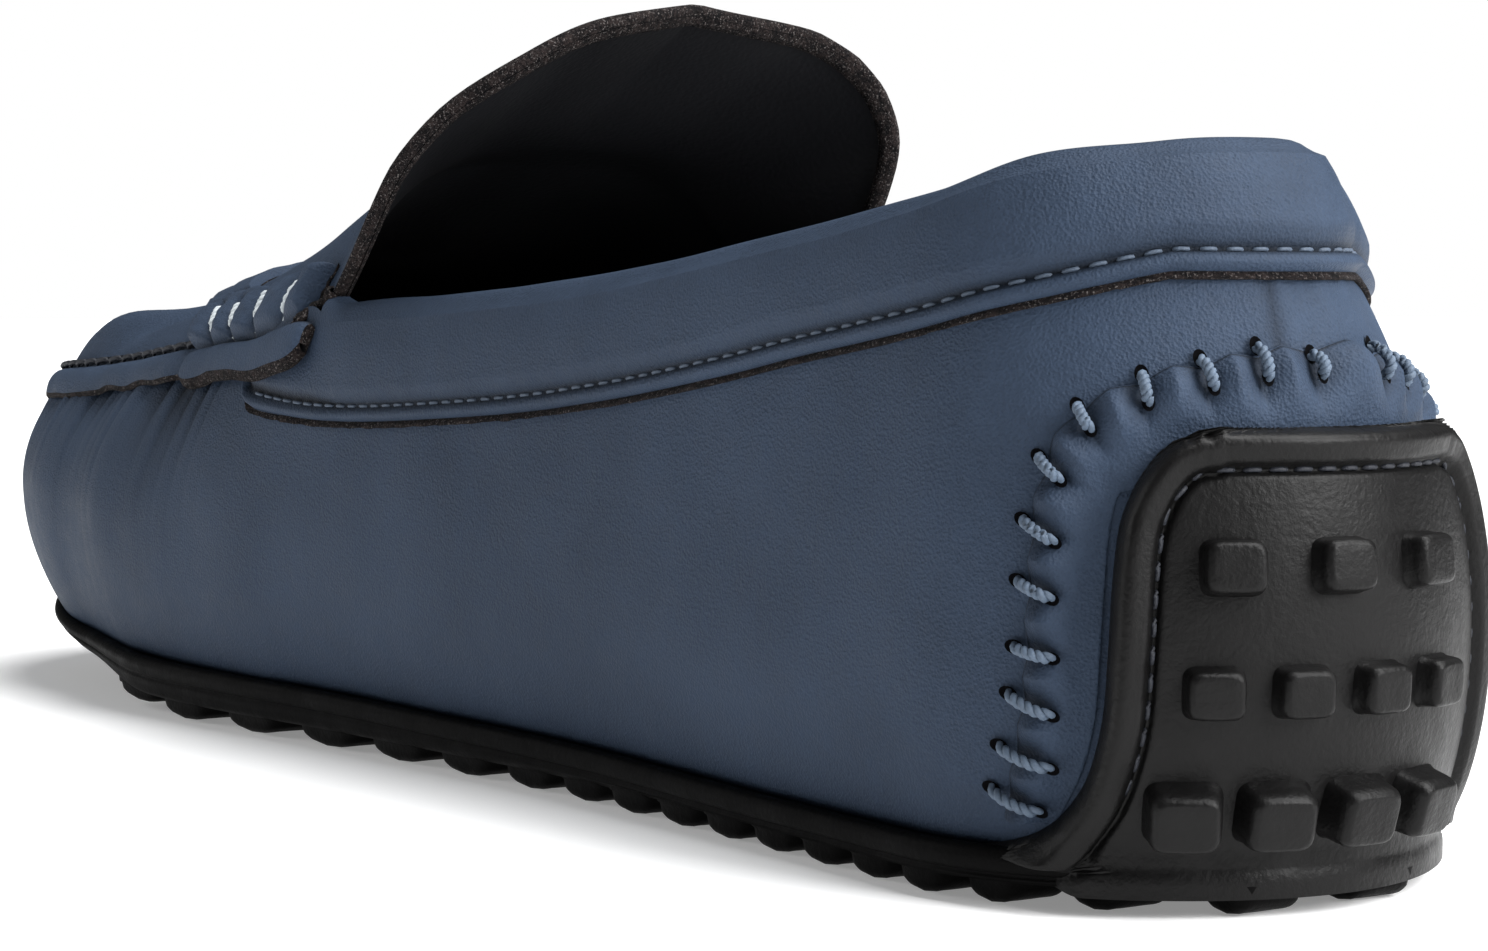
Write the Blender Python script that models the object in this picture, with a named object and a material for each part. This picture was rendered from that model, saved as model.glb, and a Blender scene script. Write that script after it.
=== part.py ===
import bpy
import bmesh
import numpy as np

# A driving moccasin for the right foot, in metres, toe towards +X, inner side towards +Y

# Named sizes
LENGTH = 0.285
BALL_WIDTH = 0.0915
COLLAR_HEIGHT = 0.0755
TONGUE_HEIGHT = 0.0968
LEATHER = 0.0020
BAND = 0.0018
STRAP = 0.0018
COUNTER = 0.0016
GAP = 0.00035
MARGIN = 0.009
INSOLE = 0.0026
RIM_REACH = 0.0028
RIM_HEIGHT = 0.0023
RIM_STEP = 0.0009
TAB = 0.0031
TAB_FIELD = 0.0024
TAB_RIM = 0.0036
LUG_HEIGHT = 0.0024
LUG_SINK = 0.0008
LUG_END = 0.0038
LUG_EDGE = 0.0052
LUG_ACROSS = 0.0165
STRAP_RIB = 0.0010
BAND_HEAD = 0.0048
BAND_SLOPE = 0.0028
BAND_BEVEL = 0.0012
LIP_REACH = 0.0034
LIP_THICK = 0.0019
LIP_GAP = 0.0002
LIP_LEAST = 0.0030
RIM_SOFT = 0.0006
RIM_FALL = 0.0005
RIM_LIFT = 0.0002
TAB_SOFT = 0.0007
TAB_SLOPE = 0.0008
TAB_EDGE = 0.0012
TAB_LEAST = 0.0010
MERGE = 0.00001
PLUG_FULLNESS = 3.6
BULGE_POWER = 1.9
TUCK_POWER = 2.2

# The last, one row per section from the heel back round one side to the toe tip
# along is a share of LENGTH, height columns of COLLAR_HEIGHT, all others of BALL_WIDTH, turn in degrees
LAST_COLUMNS = ("along", "turn", "swing", "inside", "outside", "tuck", "bulge",
                "lean_inside", "lean_outside", "rim")
LAST = {
    "heel back": (0.116, 180, 0.000, 0.361, 0.361, 0.044, 0.358, 0.148, 0.148, 1.000),
    "heel turn": (0.116, 145, 0.000, 0.355, 0.355, 0.044, 0.358, 0.131, 0.196, 0.993),
    "heel hip": (0.116, 115, 0.000, 0.350, 0.353, 0.038, 0.344, 0.098, 0.176, 0.974),
    "heel side": (0.116, 90, 0.000, 0.344, 0.355, 0.038, 0.344, 0.077, 0.146, 0.934),
    "quarter": (0.232, 90, 0.000, 0.344, 0.383, 0.044, 0.344, 0.060, 0.092, 0.868),
    "waist": (0.344, 90, 0.005, 0.350, 0.415, 0.055, 0.344, 0.044, 0.077, 0.815),
    "instep": (0.456, 90, 0.011, 0.377, 0.454, 0.055, 0.344, 0.038, 0.077, 0.785),
    "throat": (0.551, 90, 0.011, 0.410, 0.481, 0.055, 0.358, 0.049, 0.087, 0.762),
    "ball back": (0.632, 90, 0.011, 0.448, 0.508, 0.055, 0.371, 0.087, 0.120, 0.697),
    "ball": (0.709, 90, 0.011, 0.475, 0.525, 0.060, 0.371, 0.109, 0.142, 0.662),
    "toe side": (0.807, 90, 0.011, 0.459, 0.497, 0.066, 0.384, 0.098, 0.131, 0.629),
    "toe turn": (0.807, 60, 0.011, 0.481, 0.508, 0.071, 0.397, 0.077, 0.098, 0.616),
    "toe hip": (0.807, 30, 0.011, 0.541, 0.552, 0.077, 0.411, 0.055, 0.066, 0.603),
    "toe tip": (0.807, 0, 0.011, 0.601, 0.601, 0.082, 0.411, 0.049, 0.049, 0.596),
}

# Heights along the shoe, along as a share of LENGTH and height as a share of COLLAR_HEIGHT
RIDGE = ((0.35, 1.430), (0.425, 1.298), (0.491, 1.166), (0.561, 1.033), (0.625, 0.934),
         (0.684, 0.861), (0.737, 0.815), (0.814, 0.775), (0.905, 0.742), (1.0, 0.689))
SOLE_TOP = ((-0.05, 0.079), (0.23, 0.079), (0.344, 0.086), (0.456, 0.093), (0.551, 0.098),
            (0.632, 0.101), (0.709, 0.106), (0.807, 0.119), (0.874, 0.139), (0.937, 0.166),
            (1.03, 0.200))
SOLE_BASE = ((-0.05, 0.0318), (0.30, 0.0318), (0.45, 0.0318), (0.64, 0.0318), (0.709, 0.035),
             (0.807, 0.061), (0.874, 0.085), (0.937, 0.116), (1.03, 0.155))
BAND_LOW = ((0.02, 0.822), (0.052, 0.793), (0.080, 0.771), (0.127, 0.739), (0.187, 0.705),
            (0.252, 0.664), (0.321, 0.628), (0.393, 0.600), (0.470, 0.583), (0.528, 0.585),
            (0.592, 0.603), (0.620, 0.612))

# Free edge of the tongue, one row per share across from seam to middle on each side
# along as a share of LENGTH, across of BALL_WIDTH, height of TONGUE_HEIGHT
TONGUE_COLUMNS = ("share", "along_in", "across_in", "height_in", "along_out", "across_out", "height_out")
TONGUE = (
    (0.10, 0.505, 0.385, 0.694, 0.491, -0.404, 0.661),
    (0.20, 0.481, 0.378, 0.771, 0.461, -0.404, 0.733),
    (0.30, 0.454, 0.339, 0.857, 0.446, -0.402, 0.816),
    (0.45, 0.429, 0.251, 0.928, 0.441, -0.350, 0.912),
    (0.70, 0.427, 0.131, 0.975, 0.444, -0.219, 0.979),
    (1.00, 0.437, -0.022, 1.000, 0.437, -0.022, 1.000),
)

# Strap edges, one row per share across from seam to middle, along as a share of LENGTH
STRAP_COLUMNS = ("share", "back", "front")
STRAP_EDGES = (
    (0.00, 0.556, 0.688),
    (0.08, 0.575, 0.702),
    (0.18, 0.663, 0.723),
    (0.35, 0.695, 0.751),
    (0.65, 0.709, 0.772),
    (1.00, 0.713, 0.779),
)
STRAP_STITCHES = (0.14, 0.38, 0.62, 0.86)

# Heel tab, one row per height, as shares of COLLAR_HEIGHT and BALL_WIDTH
TAB_COLUMNS = ("height", "half_width")
TAB_OUTLINE = ((0.046, 0.340), (0.093, 0.328), (0.140, 0.304), (0.190, 0.287), (0.278, 0.273),
               (0.355, 0.269), (0.430, 0.266), (0.500, 0.260), (0.555, 0.245), (0.567, 0.239),
               (0.600, 0.215), (0.622, 0.149))
TAB_LUG_ROWS = (
    # height, centre towards the inner side, pitch across, count, side, reach as a share of LUG_HEIGHT
    (0.450, 0.037, 0.112, 3, 0.068, 1.0),
    (0.298, 0.036, 0.087, 4, 0.064, 1.0),
    (0.150, 0.051, 0.094, 4, 0.080, 1.5),
)

# Heel counter, one row per fold point of its arch, arc as a share of BALL_WIDTH
# and height as a share of COLLAR_HEIGHT
COUNTER_COLUMNS = ("inner_arc", "inner_height", "outer_arc", "outer_height")
COUNTER_ARCH = (
    (0.332, 0.116, 0.393, 0.124),
    (0.303, 0.178, 0.382, 0.185),
    (0.286, 0.250, 0.368, 0.255),
    (0.280, 0.340, 0.361, 0.340),
    (0.276, 0.430, 0.359, 0.440),
    (0.270, 0.510, 0.352, 0.545),
    (0.254, 0.575, 0.320, 0.640),
    (0.222, 0.628, 0.240, 0.690),
    (0.149, 0.646, 0.162, 0.712),
    (0.075, 0.650, 0.080, 0.728),
    (0.000, 0.652, 0.000, 0.732),
)

for old in list(bpy.data.objects):
    bpy.data.objects.remove(old, do_unlink=True)


# Curves through table rows
def slopes_kept(x, y):
    step = np.diff(x)
    rate = np.diff(y) / step
    out = np.zeros_like(y)
    for i in range(1, len(x) - 1):
        if rate[i - 1] * rate[i] > 0:
            one = 2 * step[i] + step[i - 1]
            two = step[i] + 2 * step[i - 1]
            out[i] = (one + two) / (one / rate[i - 1] + two / rate[i])
    return out


def slopes_free(x, y, level_ends):
    step = np.diff(x)
    rate = np.diff(y) / step
    out = np.zeros_like(y)
    out[1:-1] = (rate[1:] * step[:-1] + rate[:-1] * step[1:]) / (step[1:] + step[:-1])
    if not level_ends:
        out[0] = rate[0]
        out[-1] = rate[-1]
    return out


def curve(x, y, slope, at):
    at = np.clip(at, x[0], x[-1])
    i = np.clip(np.searchsorted(x, at, side="right") - 1, 0, len(x) - 2)
    step = x[i + 1] - x[i]
    t = (at - x[i]) / step
    near = y[i] * (1 + 2 * t) * (1 - t) ** 2 + slope[i] * step * t * (1 - t) ** 2
    far = y[i + 1] * t * t * (3 - 2 * t) + slope[i + 1] * step * t * t * (t - 1)
    return near + far


def height_curve(rows, level_kept):
    table = np.array(rows)
    x = table[:, 0] * LENGTH
    y = table[:, 1] * COLLAR_HEIGHT
    slope = slopes_kept(x, y) if level_kept else slopes_free(x, y, False)
    return lambda at: curve(x, y, slope, at)


ridge = height_curve(RIDGE, False)
sole_top = height_curve(SOLE_TOP, False)
sole_base = height_curve(SOLE_BASE, True)
band_low = height_curve(BAND_LOW, False)

# The last in metres
UNITS = {"along": LENGTH, "turn": 1.0, "bulge": COLLAR_HEIGHT, "rim": COLLAR_HEIGHT}
ROWS = np.array(list(LAST.values()), dtype=float)
LAST_VALUES = {}
for place, column_name in enumerate(LAST_COLUMNS):
    LAST_VALUES[column_name] = ROWS[:, place] * UNITS.get(column_name, BALL_WIDTH)


def plan_points(side):
    reach = LAST_VALUES["inside"] if side > 0 else LAST_VALUES["outside"]
    turn = np.radians(LAST_VALUES["turn"])
    x = LAST_VALUES["along"] + reach * np.cos(turn)
    y = LAST_VALUES["swing"] + side * reach * np.sin(turn)
    return np.stack([x, y], axis=1)


STEPS = 0.5 * (np.linalg.norm(np.diff(plan_points(1), axis=0), axis=1)
               + np.linalg.norm(np.diff(plan_points(-1), axis=0), axis=1))
ROUND = np.concatenate([[0.0], np.cumsum(STEPS)])
HALF = ROUND[-1]
STATION = dict(zip(LAST, ROUND))
STRAIGHT_COLUMNS = ("along", "turn", "swing")
LAST_SLOPES = {}
for column_name in LAST_COLUMNS:
    LAST_SLOPES[column_name] = slopes_free(ROUND, LAST_VALUES[column_name], True)


# A place round the shoe is the distance q from the heel back, inner side first
def section(q):
    q = np.mod(q, 2 * HALF)
    side = np.where(q <= HALF, 1.0, -1.0)
    a = np.where(q <= HALF, q, 2 * HALF - q)
    v = {}
    for key in LAST_COLUMNS:
        if key in STRAIGHT_COLUMNS:
            v[key] = np.interp(a, ROUND, LAST_VALUES[key])
        else:
            v[key] = curve(ROUND, LAST_VALUES[key], LAST_SLOPES[key], a)
    v["side"] = side
    v["reach"] = np.where(side > 0, v["inside"], v["outside"])
    v["lean"] = np.where(side > 0, v["lean_inside"], v["lean_outside"])
    turn = np.radians(v["turn"])
    v["cos"] = np.cos(turn)
    v["sin"] = side * np.sin(turn)
    v["foot_reach"] = v["reach"] - v["tuck"]
    v["foot"] = sole_top(v["along"] + v["foot_reach"] * v["cos"])
    return v


def ray(v, r, z):
    x = v["along"] + r * v["cos"]
    y = v["swing"] + r * v["sin"]
    return np.stack([x + 0 * z, y + 0 * z, z + 0 * x], axis=-1)


def wall(q, z):
    v = section(q)
    low = np.clip((v["bulge"] - z) / (v["bulge"] - v["foot"]), 0, 1.3)
    high = np.clip((z - v["bulge"]) / (v["rim"] - v["bulge"]), 0, 1.3)
    r = v["reach"] - v["tuck"] * low ** TUCK_POWER - v["lean"] * high ** BULGE_POWER
    return ray(v, r, z)


def plug(q, w):
    v = section(q)
    edge = v["reach"] - v["lean"]
    drop = ridge(v["along"] + edge * v["cos"]) - v["rim"]
    r = edge * (1 - w)
    x = v["along"] + r * v["cos"]
    z = ridge(x) - drop * (1 - w) ** PLUG_FULLNESS
    return ray(v, r, z)


def unit(vector):
    return vector / np.linalg.norm(vector, axis=-1, keepdims=True)


NUDGE = 0.00005


def wall_out(q, z):
    along = wall(q + NUDGE, z) - wall(q - NUDGE, z)
    up = wall(q, z + NUDGE) - wall(q, z - NUDGE)
    return unit(np.cross(up, along))


def plug_out(q, w):
    if w > 0.999:
        x = section(q)["along"]
        fall = (ridge(x + NUDGE) - ridge(x - NUDGE)) / (2 * NUDGE)
        return unit(np.array([-float(fall), 0.0, 1.0]))
    along = plug(q + NUDGE, w) - plug(q - NUDGE, w)
    up = plug(q, w + 0.002) - plug(q, max(w - 0.002, 0.0))
    return unit(np.cross(up, along))


def other_side(a):
    return 2 * HALF - a


FINE = np.linspace(STATION["heel side"], STATION["toe side"], 400)
FINE_ALONG = section(FINE)["along"]


def round_at(x):
    return float(np.interp(x, FINE_ALONG, FINE))


# Columns of one side, closer together round the heel and the toe
def spread(start, stop, count):
    return list(np.linspace(start, stop, count, endpoint=False))


SIDE = []
SIDE += spread(0.0, STATION["heel side"], 10)
SIDE += spread(STATION["heel side"], STATION["instep"], 8)
SIDE += spread(STATION["instep"], STATION["throat"], 4)
SIDE += spread(STATION["throat"], STATION["toe side"], 7)
SIDE += spread(STATION["toe side"], HALF, 10)
SIDE += [HALF]
THROAT_COLUMN = 22
ROUNDS = SIDE + [other_side(a) for a in reversed(SIDE[1:-1])]


# Meshes
def finish(name, mesh, colour, roughness):
    obj = bpy.data.objects.new(name, mesh)
    bpy.context.scene.collection.objects.link(obj)
    material = bpy.data.materials.new(name + " material")
    material.use_nodes = True
    shader = material.node_tree.nodes["Principled BSDF"]
    shader.inputs["Base Color"].default_value = colour
    shader.inputs["Roughness"].default_value = roughness
    mesh.materials.append(material)
    mesh.polygons.foreach_set("use_smooth", [True] * len(mesh.polygons))
    mesh.update()
    return obj


def mesh_from(bm, name):
    bmesh.ops.recalc_face_normals(bm, faces=bm.faces)
    if bm.calc_volume(signed=True) < 0:
        bmesh.ops.reverse_faces(bm, faces=bm.faces)
    mesh = bpy.data.meshes.new(name)
    bm.to_mesh(mesh)
    bm.free()
    return mesh


def add_face(bm, corners):
    kept = []
    for corner in corners:
        if corner not in kept:
            kept.append(corner)
    if len(kept) > 2:
        bm.faces.new(kept)


# Sides along the open edges between the outer skin and its inner copy
def close_edges(bm, inner):
    edges = [e for e in bm.edges if len(e.link_faces) == 1 and e.verts[0] in inner]
    pairs = []
    for edge in edges:
        loop = edge.link_loops[0]
        pairs.append((loop.vert, loop.link_loop_next.vert))
    for face in list(bm.faces):
        bm.faces.new([inner[v] for v in reversed(face.verts)])
    for one, two in pairs:
        bm.faces.new([two, one, inner[one], inner[two]])


# A solid between two grids of points, with an optional mask of the cells that are there
def slab(outer, inner, name, mask=None):
    rows = len(outer)
    columns = len(outer[0])
    bm = bmesh.new()
    skin = {}
    twin = {}
    for i in range(rows - 1):
        for j in range(columns - 1):
            if mask and not mask(i, j):
                continue
            corners = ((i, j), (i + 1, j), (i + 1, j + 1), (i, j + 1))
            for key in corners:
                if key not in skin:
                    skin[key] = bm.verts.new(outer[key[0]][key[1]])
            bm.faces.new([skin[key] for key in corners])
    for key, vert in skin.items():
        twin[vert] = bm.verts.new(inner[key[0]][key[1]])
    close_edges(bm, twin)
    return mesh_from(bm, name)


# A closed solid from profiles that all start and end on the middle line
def round_solid(profiles, name):
    bm = bmesh.new()
    rings = [[bm.verts.new(p) for p in ring] for ring in profiles]
    count = len(rings)
    for i in range(count):
        here = rings[i]
        after = rings[(i + 1) % count]
        for j in range(len(here) - 1):
            bm.faces.new([here[j], after[j], after[j + 1], here[j + 1]])
    bmesh.ops.remove_doubles(bm, verts=bm.verts, dist=MERGE)
    return mesh_from(bm, name)


# A solid swept through closed profiles, capped at both ends
def swept(profiles, name):
    bm = bmesh.new()
    rings = [[bm.verts.new(p) for p in ring] for ring in profiles]
    size = len(rings[0])
    for here, after in zip(rings, rings[1:]):
        for j in range(size):
            k = (j + 1) % size
            bm.faces.new([here[j], after[j], after[k], here[k]])
    bm.faces.new(list(reversed(rings[0])))
    bm.faces.new(rings[-1])
    return mesh_from(bm, name)


# The upper: wall, plug and tongue as one skin, then given its thickness inwards
WALL_SHARES = (0.0, 0.06, 0.16, 0.30, 0.45, 0.60, 0.75, 0.89, 1.0)
PLUG_SHARES = (0.0, 0.035, 0.08, 0.18, 0.35, 0.65, 1.0)
TONGUE_SHARES = (0.0, 0.05, 0.10, 0.20, 0.30, 0.45, 0.70, 1.0)
TONGUE_STEPS = (0.0, 0.15, 0.35, 0.57, 0.79, 1.0)
ROLL = BAND + GAP
ROLL_START = STATION["throat"] - 0.055 * LENGTH
ROLL_FULL = STATION["throat"] - 0.030 * LENGTH


def smooth_step(t):
    t = min(max(t, 0.0), 1.0)
    return t * t * (3 - 2 * t)


def side_distance(q):
    return q if q <= HALF else other_side(q)


def wall_top(q):
    a = side_distance(q)
    lowered = smooth_step((STATION["throat"] - a) / (STATION["throat"] - ROLL_FULL))
    return float(section(q)["rim"]) - ROLL * lowered


def column_points(q):
    v = section(q)
    foot = float(v["foot"])
    top = wall_top(q)
    inner_reach = float(v["foot_reach"]) - MARGIN
    x = float(v["along"] + inner_reach * v["cos"])
    points = [ray(v, inner_reach, sole_top(x))]
    for share in WALL_SHARES:
        points.append(wall(q, foot + share * (top - foot)))
    return points


def tongue_edge(share, side):
    table = np.array(TONGUE)
    names = TONGUE_COLUMNS[1:4] if side > 0 else TONGUE_COLUMNS[4:]
    units = (LENGTH, BALL_WIDTH, TONGUE_HEIGHT)
    corner_q = STATION["throat"] if side > 0 else other_side(STATION["throat"])
    corner = plug(corner_q, 0.0)
    x = np.concatenate([[0.0], table[:, 0]])
    out = []
    for place, (key, size) in enumerate(zip(names, units)):
        y = table[:, TONGUE_COLUMNS.index(key)] * size
        y = np.concatenate([[corner[place]], y])
        out.append(float(curve(x, y, slopes_kept(x, y), share)))
    return np.array(out)


def build_upper():
    bm = bmesh.new()
    columns = []
    for q in ROUNDS:
        columns.append([bm.verts.new(p) for p in column_points(q)])
    count = len(columns)
    for i in range(count):
        here = columns[i]
        after = columns[(i + 1) % count]
        for j in range(len(here) - 1):
            bm.faces.new([here[j], after[j], after[j + 1], here[j + 1]])
    # plug ahead of the throat
    lines = {}
    last = len(SIDE) - 1
    for i in range(THROAT_COLUMN, last + 1):
        for side in (1, -1):
            q = SIDE[i] if side > 0 else other_side(SIDE[i])
            column = i if side > 0 else (count - i) % count
            if i == last:
                column = last
            shares = TONGUE_SHARES if i == THROAT_COLUMN else PLUG_SHARES
            points = [columns[column][-1]]
            for share in shares[1:]:
                points.append(bm.verts.new(plug(q, share)))
            lines[(i, side)] = points
    for i in range(THROAT_COLUMN + 1, last):
        for side in (1, -1):
            here = lines[(i, side)]
            after = lines[(i + 1, side)]
            for j in range(len(here) - 1):
                ring = [here[j], after[j], after[j + 1], here[j + 1]]
                bm.faces.new(ring if side > 0 else list(reversed(ring)))
    # one strip joins the throat line, which has its own shares, to the plug
    for side in (1, -1):
        throat = lines[(THROAT_COLUMN, side)]
        after = lines[(THROAT_COLUMN + 1, side)]
        i = 0
        j = 0
        while i < len(throat) - 1 or j < len(after) - 1:
            more_throat = TONGUE_SHARES[i + 1] if i < len(throat) - 1 else 9.0
            more_after = PLUG_SHARES[j + 1] if j < len(after) - 1 else 9.0
            if abs(more_throat - more_after) < 0.03:
                ring = [throat[i], after[j], after[j + 1], throat[i + 1]]
                i += 1
                j += 1
            elif more_throat < more_after:
                ring = [throat[i], after[j], throat[i + 1]]
                i += 1
            else:
                ring = [throat[i], after[j], after[j + 1]]
                j += 1
            bm.faces.new(ring if side > 0 else list(reversed(ring)))
    # tongue behind the throat
    for side in (1, -1):
        q = STATION["throat"] if side > 0 else other_side(STATION["throat"])
        throat = lines[(THROAT_COLUMN, side)]
        fans = [[throat[0]] * len(TONGUE_STEPS)]
        for place, share in enumerate(TONGUE_SHARES[1:]):
            start = plug(q, share)
            stop = tongue_edge(share, side)
            fan = [throat[place + 1]]
            for step in TONGUE_STEPS[1:]:
                fan.append(bm.verts.new(start + (stop - start) * step))
            fans.append(fan)
        for here, after in zip(fans, fans[1:]):
            for j in range(len(TONGUE_STEPS) - 1):
                ring = [here[j], here[j + 1], after[j + 1], after[j]]
                add_face(bm, list(reversed(ring)) if side > 0 else ring)
    bmesh.ops.remove_doubles(bm, verts=bm.verts, dist=MERGE)
    bmesh.ops.recalc_face_normals(bm, faces=bm.faces)
    bm.normal_update()
    inner = {}
    for vert in list(bm.verts):
        inner[vert] = bm.verts.new(vert.co - vert.normal * LEATHER)
    close_edges(bm, inner)
    return mesh_from(bm, "upper")


finish("upper", build_upper(), (0.075, 0.115, 0.17, 1), 0.85)


# The collar band: up the outside, over the top edge and down the inside
ROLL_TURNS = (0, 40, 90, 140, 180)
BAND_LEG = (0.0, 0.45, 0.80)
BAND_INSIDE = (0.011,)
BAND_FRONT = 0.607 * LENGTH
BAND_CORNER = 0.024 * LENGTH
BAND_ROWS = len(BAND_LEG) + len(ROLL_TURNS) + len(BAND_INSIDE)


def band_point(q, place, depth):
    x = float(section(q)["along"] + section(q)["reach"] * section(q)["cos"])
    low = float(band_low(max(x, 0.02 * LENGTH)))
    high = float(section(q)["rim"]) - BAND_HEAD
    over = (x - (BAND_FRONT - BAND_CORNER)) / BAND_CORNER
    if over > 0:
        low += 0.8 * (high - low) * (1 - np.sqrt(max(1 - min(over, 1.0) ** 2, 0.0)))
    top = wall_top(q)
    if place < len(BAND_LEG):
        z = low + (high - low) * BAND_LEG[place] / BAND_LEG[-1]
        return wall(q, z) + wall_out(q, z) * depth
    out = wall_out(q, top)
    edge = wall(q, top)
    up = unit(np.cross(wall(q + NUDGE, top) - wall(q - NUDGE, top), out))
    up = up if up[2] > 0 else -up
    place -= len(BAND_LEG)
    middle = edge - out * LEATHER / 2
    reach = LEATHER / 2 + depth
    if place < len(ROLL_TURNS):
        turn = np.radians(ROLL_TURNS[place])
        return middle + out * reach * np.cos(turn) + up * reach * np.sin(turn)
    z = top - BAND_INSIDE[place - len(ROLL_TURNS)]
    return wall(q, z) - wall_out(q, z) * (LEATHER + depth)


def build_band():
    front = round_at(BAND_FRONT)
    half = [a for a in SIDE if a < front - BAND_SLOPE - BAND_BEVEL]
    half.append(front - BAND_SLOPE)
    half.append(front)
    ends = [a for a in reversed(half[1:])]
    way = [-a for a in ends] + half
    outer = []
    inner = []
    for q in way:
        outer.append([band_point(q, k, GAP + BAND) for k in range(BAND_ROWS)])
        inner.append([band_point(q, k, GAP) for k in range(BAND_ROWS)])

    def there(i, j):
        if j < len(BAND_LEG) - 1:
            return True
        return max(abs(way[i]), abs(way[i + 1])) < ROLL_START + NUDGE

    return slab(outer, inner, "collar_band", there)


finish("collar_band", build_band(), (0.07, 0.105, 0.16, 1), 0.85)


# The strap over the vamp, its ends ribbed by thick stitches and flared past the seam
STRAP_STEPS = (0.0, 0.07, 0.14, 0.26, 0.38, 0.5, 0.62, 0.74, 0.86, 0.93, 1.0)
STRAP_SHARES = (0.0, 0.035, 0.08, 0.125, 0.18, 0.26, 0.35, 0.65, 1.0)
# The flared lip, inner corner then outer, out from the seam and up, as shares of STRAP
LIP_MIDDLE = np.array([(1.00, -0.33), (1.67, 0.50)]) * STRAP
LIP_TIP = np.array([(1.83, -1.89), (2.72, -1.44)]) * STRAP


def strap_line(step, side):
    table = np.array(STRAP_EDGES)
    outer = []
    inner = []
    near = min(abs(step - s) for s in STRAP_STITCHES)
    rib = STRAP_RIB * min(near / 0.12, 1.0)
    if step < 0.02 or step > 0.98:
        rib = 0.0
    for share in STRAP_SHARES:
        back = curve(table[:, 0], table[:, 1], slopes_kept(table[:, 0], table[:, 1]), share)
        front = curve(table[:, 0], table[:, 2], slopes_kept(table[:, 0], table[:, 2]), share)
        a = round_at(LENGTH * float(back + (front - back) * step))
        q = a if side > 0 else other_side(a)
        base = plug(q, share)
        out = plug_out(q, share)
        fade = max(1 - share / 0.3, 0.0)
        if share == 0.0:
            v = section(q)
            away = np.array([float(v["cos"]), float(v["sin"]), 0.0])
            up = np.array([0.0, 0.0, 1.0])
            lift = unit(away + 0.9 * up)
            outer.append(base + lift * (GAP + STRAP + rib))
            inner.append(base + lift * GAP)
            for (near_in, near_up), (far_in, far_up) in ((LIP_MIDDLE[0], LIP_MIDDLE[1]),
                                                         (LIP_TIP[0], LIP_TIP[1])):
                inner.insert(0, base + away * near_in + up * near_up)
                outer.insert(0, base + away * far_in + up * far_up)
        else:
            outer.append(base + out * (GAP + STRAP + rib * fade))
            inner.append(base + out * GAP)
    return outer, inner


def build_strap():
    outer = []
    inner = []
    for step in STRAP_STEPS:
        one_out, one_in = strap_line(step, 1)
        two_out, two_in = strap_line(step, -1)
        outer.append(one_out + list(reversed(two_out[:-1])))
        inner.append(one_in + list(reversed(two_in[:-1])))
    return slab(outer, inner, "saddle_strap")


finish("saddle_strap", build_strap(), (0.07, 0.105, 0.16, 1), 0.85)


# The raised lip of the seam round the toe, from one strap end to the other
LIP_OUTLINE = (
    # back from the lip's reach, up, as shares of LIP_THICK
    (0.32, -0.42),
    (0.00, 0.11),
    (0.26, 0.68),
)


def lip_profile(q):
    v = section(q)
    base = plug(q, 0.0)
    away = np.array([float(v["cos"]), float(v["sin"]), 0.0])
    up = np.array([0.0, 0.0, 1.0])
    below = base + wall_out(q, float(v["rim"]) - LIP_GAP) * GAP
    rise = 0.0
    share = 0.0
    while rise < LIP_THICK and share < 0.5:
        share += 0.005
        rise = plug(q, share)[2] - base[2]
    above = plug(q, share) + plug_out(q, share) * GAP
    profile = [below + away * LIP_GAP]
    for back, height in LIP_OUTLINE:
        profile.append(base + away * (LIP_REACH - back * LIP_THICK) + up * height * LIP_THICK)
    profile.append(above + away * LIP_GAP)
    return profile


def build_lip():
    start = round_at((STRAP_EDGES[0][2] + 0.004) * LENGTH)
    way = [start] + [a for a in SIDE if a > start + LIP_LEAST]
    way = way + [other_side(a) for a in reversed(way[:-1])]
    return swept([lip_profile(q) for q in way], "apron_lip")


finish("apron_lip", build_lip(), (0.06, 0.095, 0.145, 1), 0.85)


# The heel counter, an arch round the tab with puffed edges
COUNTER_ACROSS = (0.0, 0.22, 0.75, 1.0)
COUNTER_SWELL = (0.55, 1.25, 1.15, 0.45)


def build_counter():
    half = np.array(COUNTER_ARCH)
    other = half[:-1][::-1].copy()
    other[:, 0] *= -1
    other[:, 2] *= -1
    outer = []
    inner = []
    for inner_arc, inner_height, outer_arc, outer_height in np.concatenate([half, other]):
        one = np.array([inner_arc * BALL_WIDTH, inner_height * COLLAR_HEIGHT])
        two = np.array([outer_arc * BALL_WIDTH, outer_height * COLLAR_HEIGHT])
        line_out = []
        line_in = []
        for across, swell in zip(COUNTER_ACROSS, COUNTER_SWELL):
            q, z = one + (two - one) * across
            line_in.append(wall(q, z) + wall_out(q, z) * GAP)
            line_out.append(wall(q, z) + wall_out(q, z) * (GAP + COUNTER * swell))
        outer.append(line_out)
        inner.append(line_in)
    return slab(outer, inner, "heel_counter")


finish("heel_counter", build_counter(), (0.07, 0.11, 0.165, 1), 0.85)


# The insole on the turned-in margin
def insole_profile(q):
    v = section(q)
    edge = float(v["foot_reach"]) - 0.9 * LEATHER
    profile = []
    for share, lift in ((0, 1), (0.97, 1), (1, 0.75), (1, 0), (0, 0)):
        r = edge * share
        x = float(v["along"] + r * v["cos"])
        z = sole_top(x) + LEATHER + GAP + INSOLE * lift
        profile.append(ray(v, r, z))
    return profile


finish("insole", round_solid([insole_profile(q) for q in ROUNDS], "insole"), (0.01, 0.011, 0.014, 1), 0.8)


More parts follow.
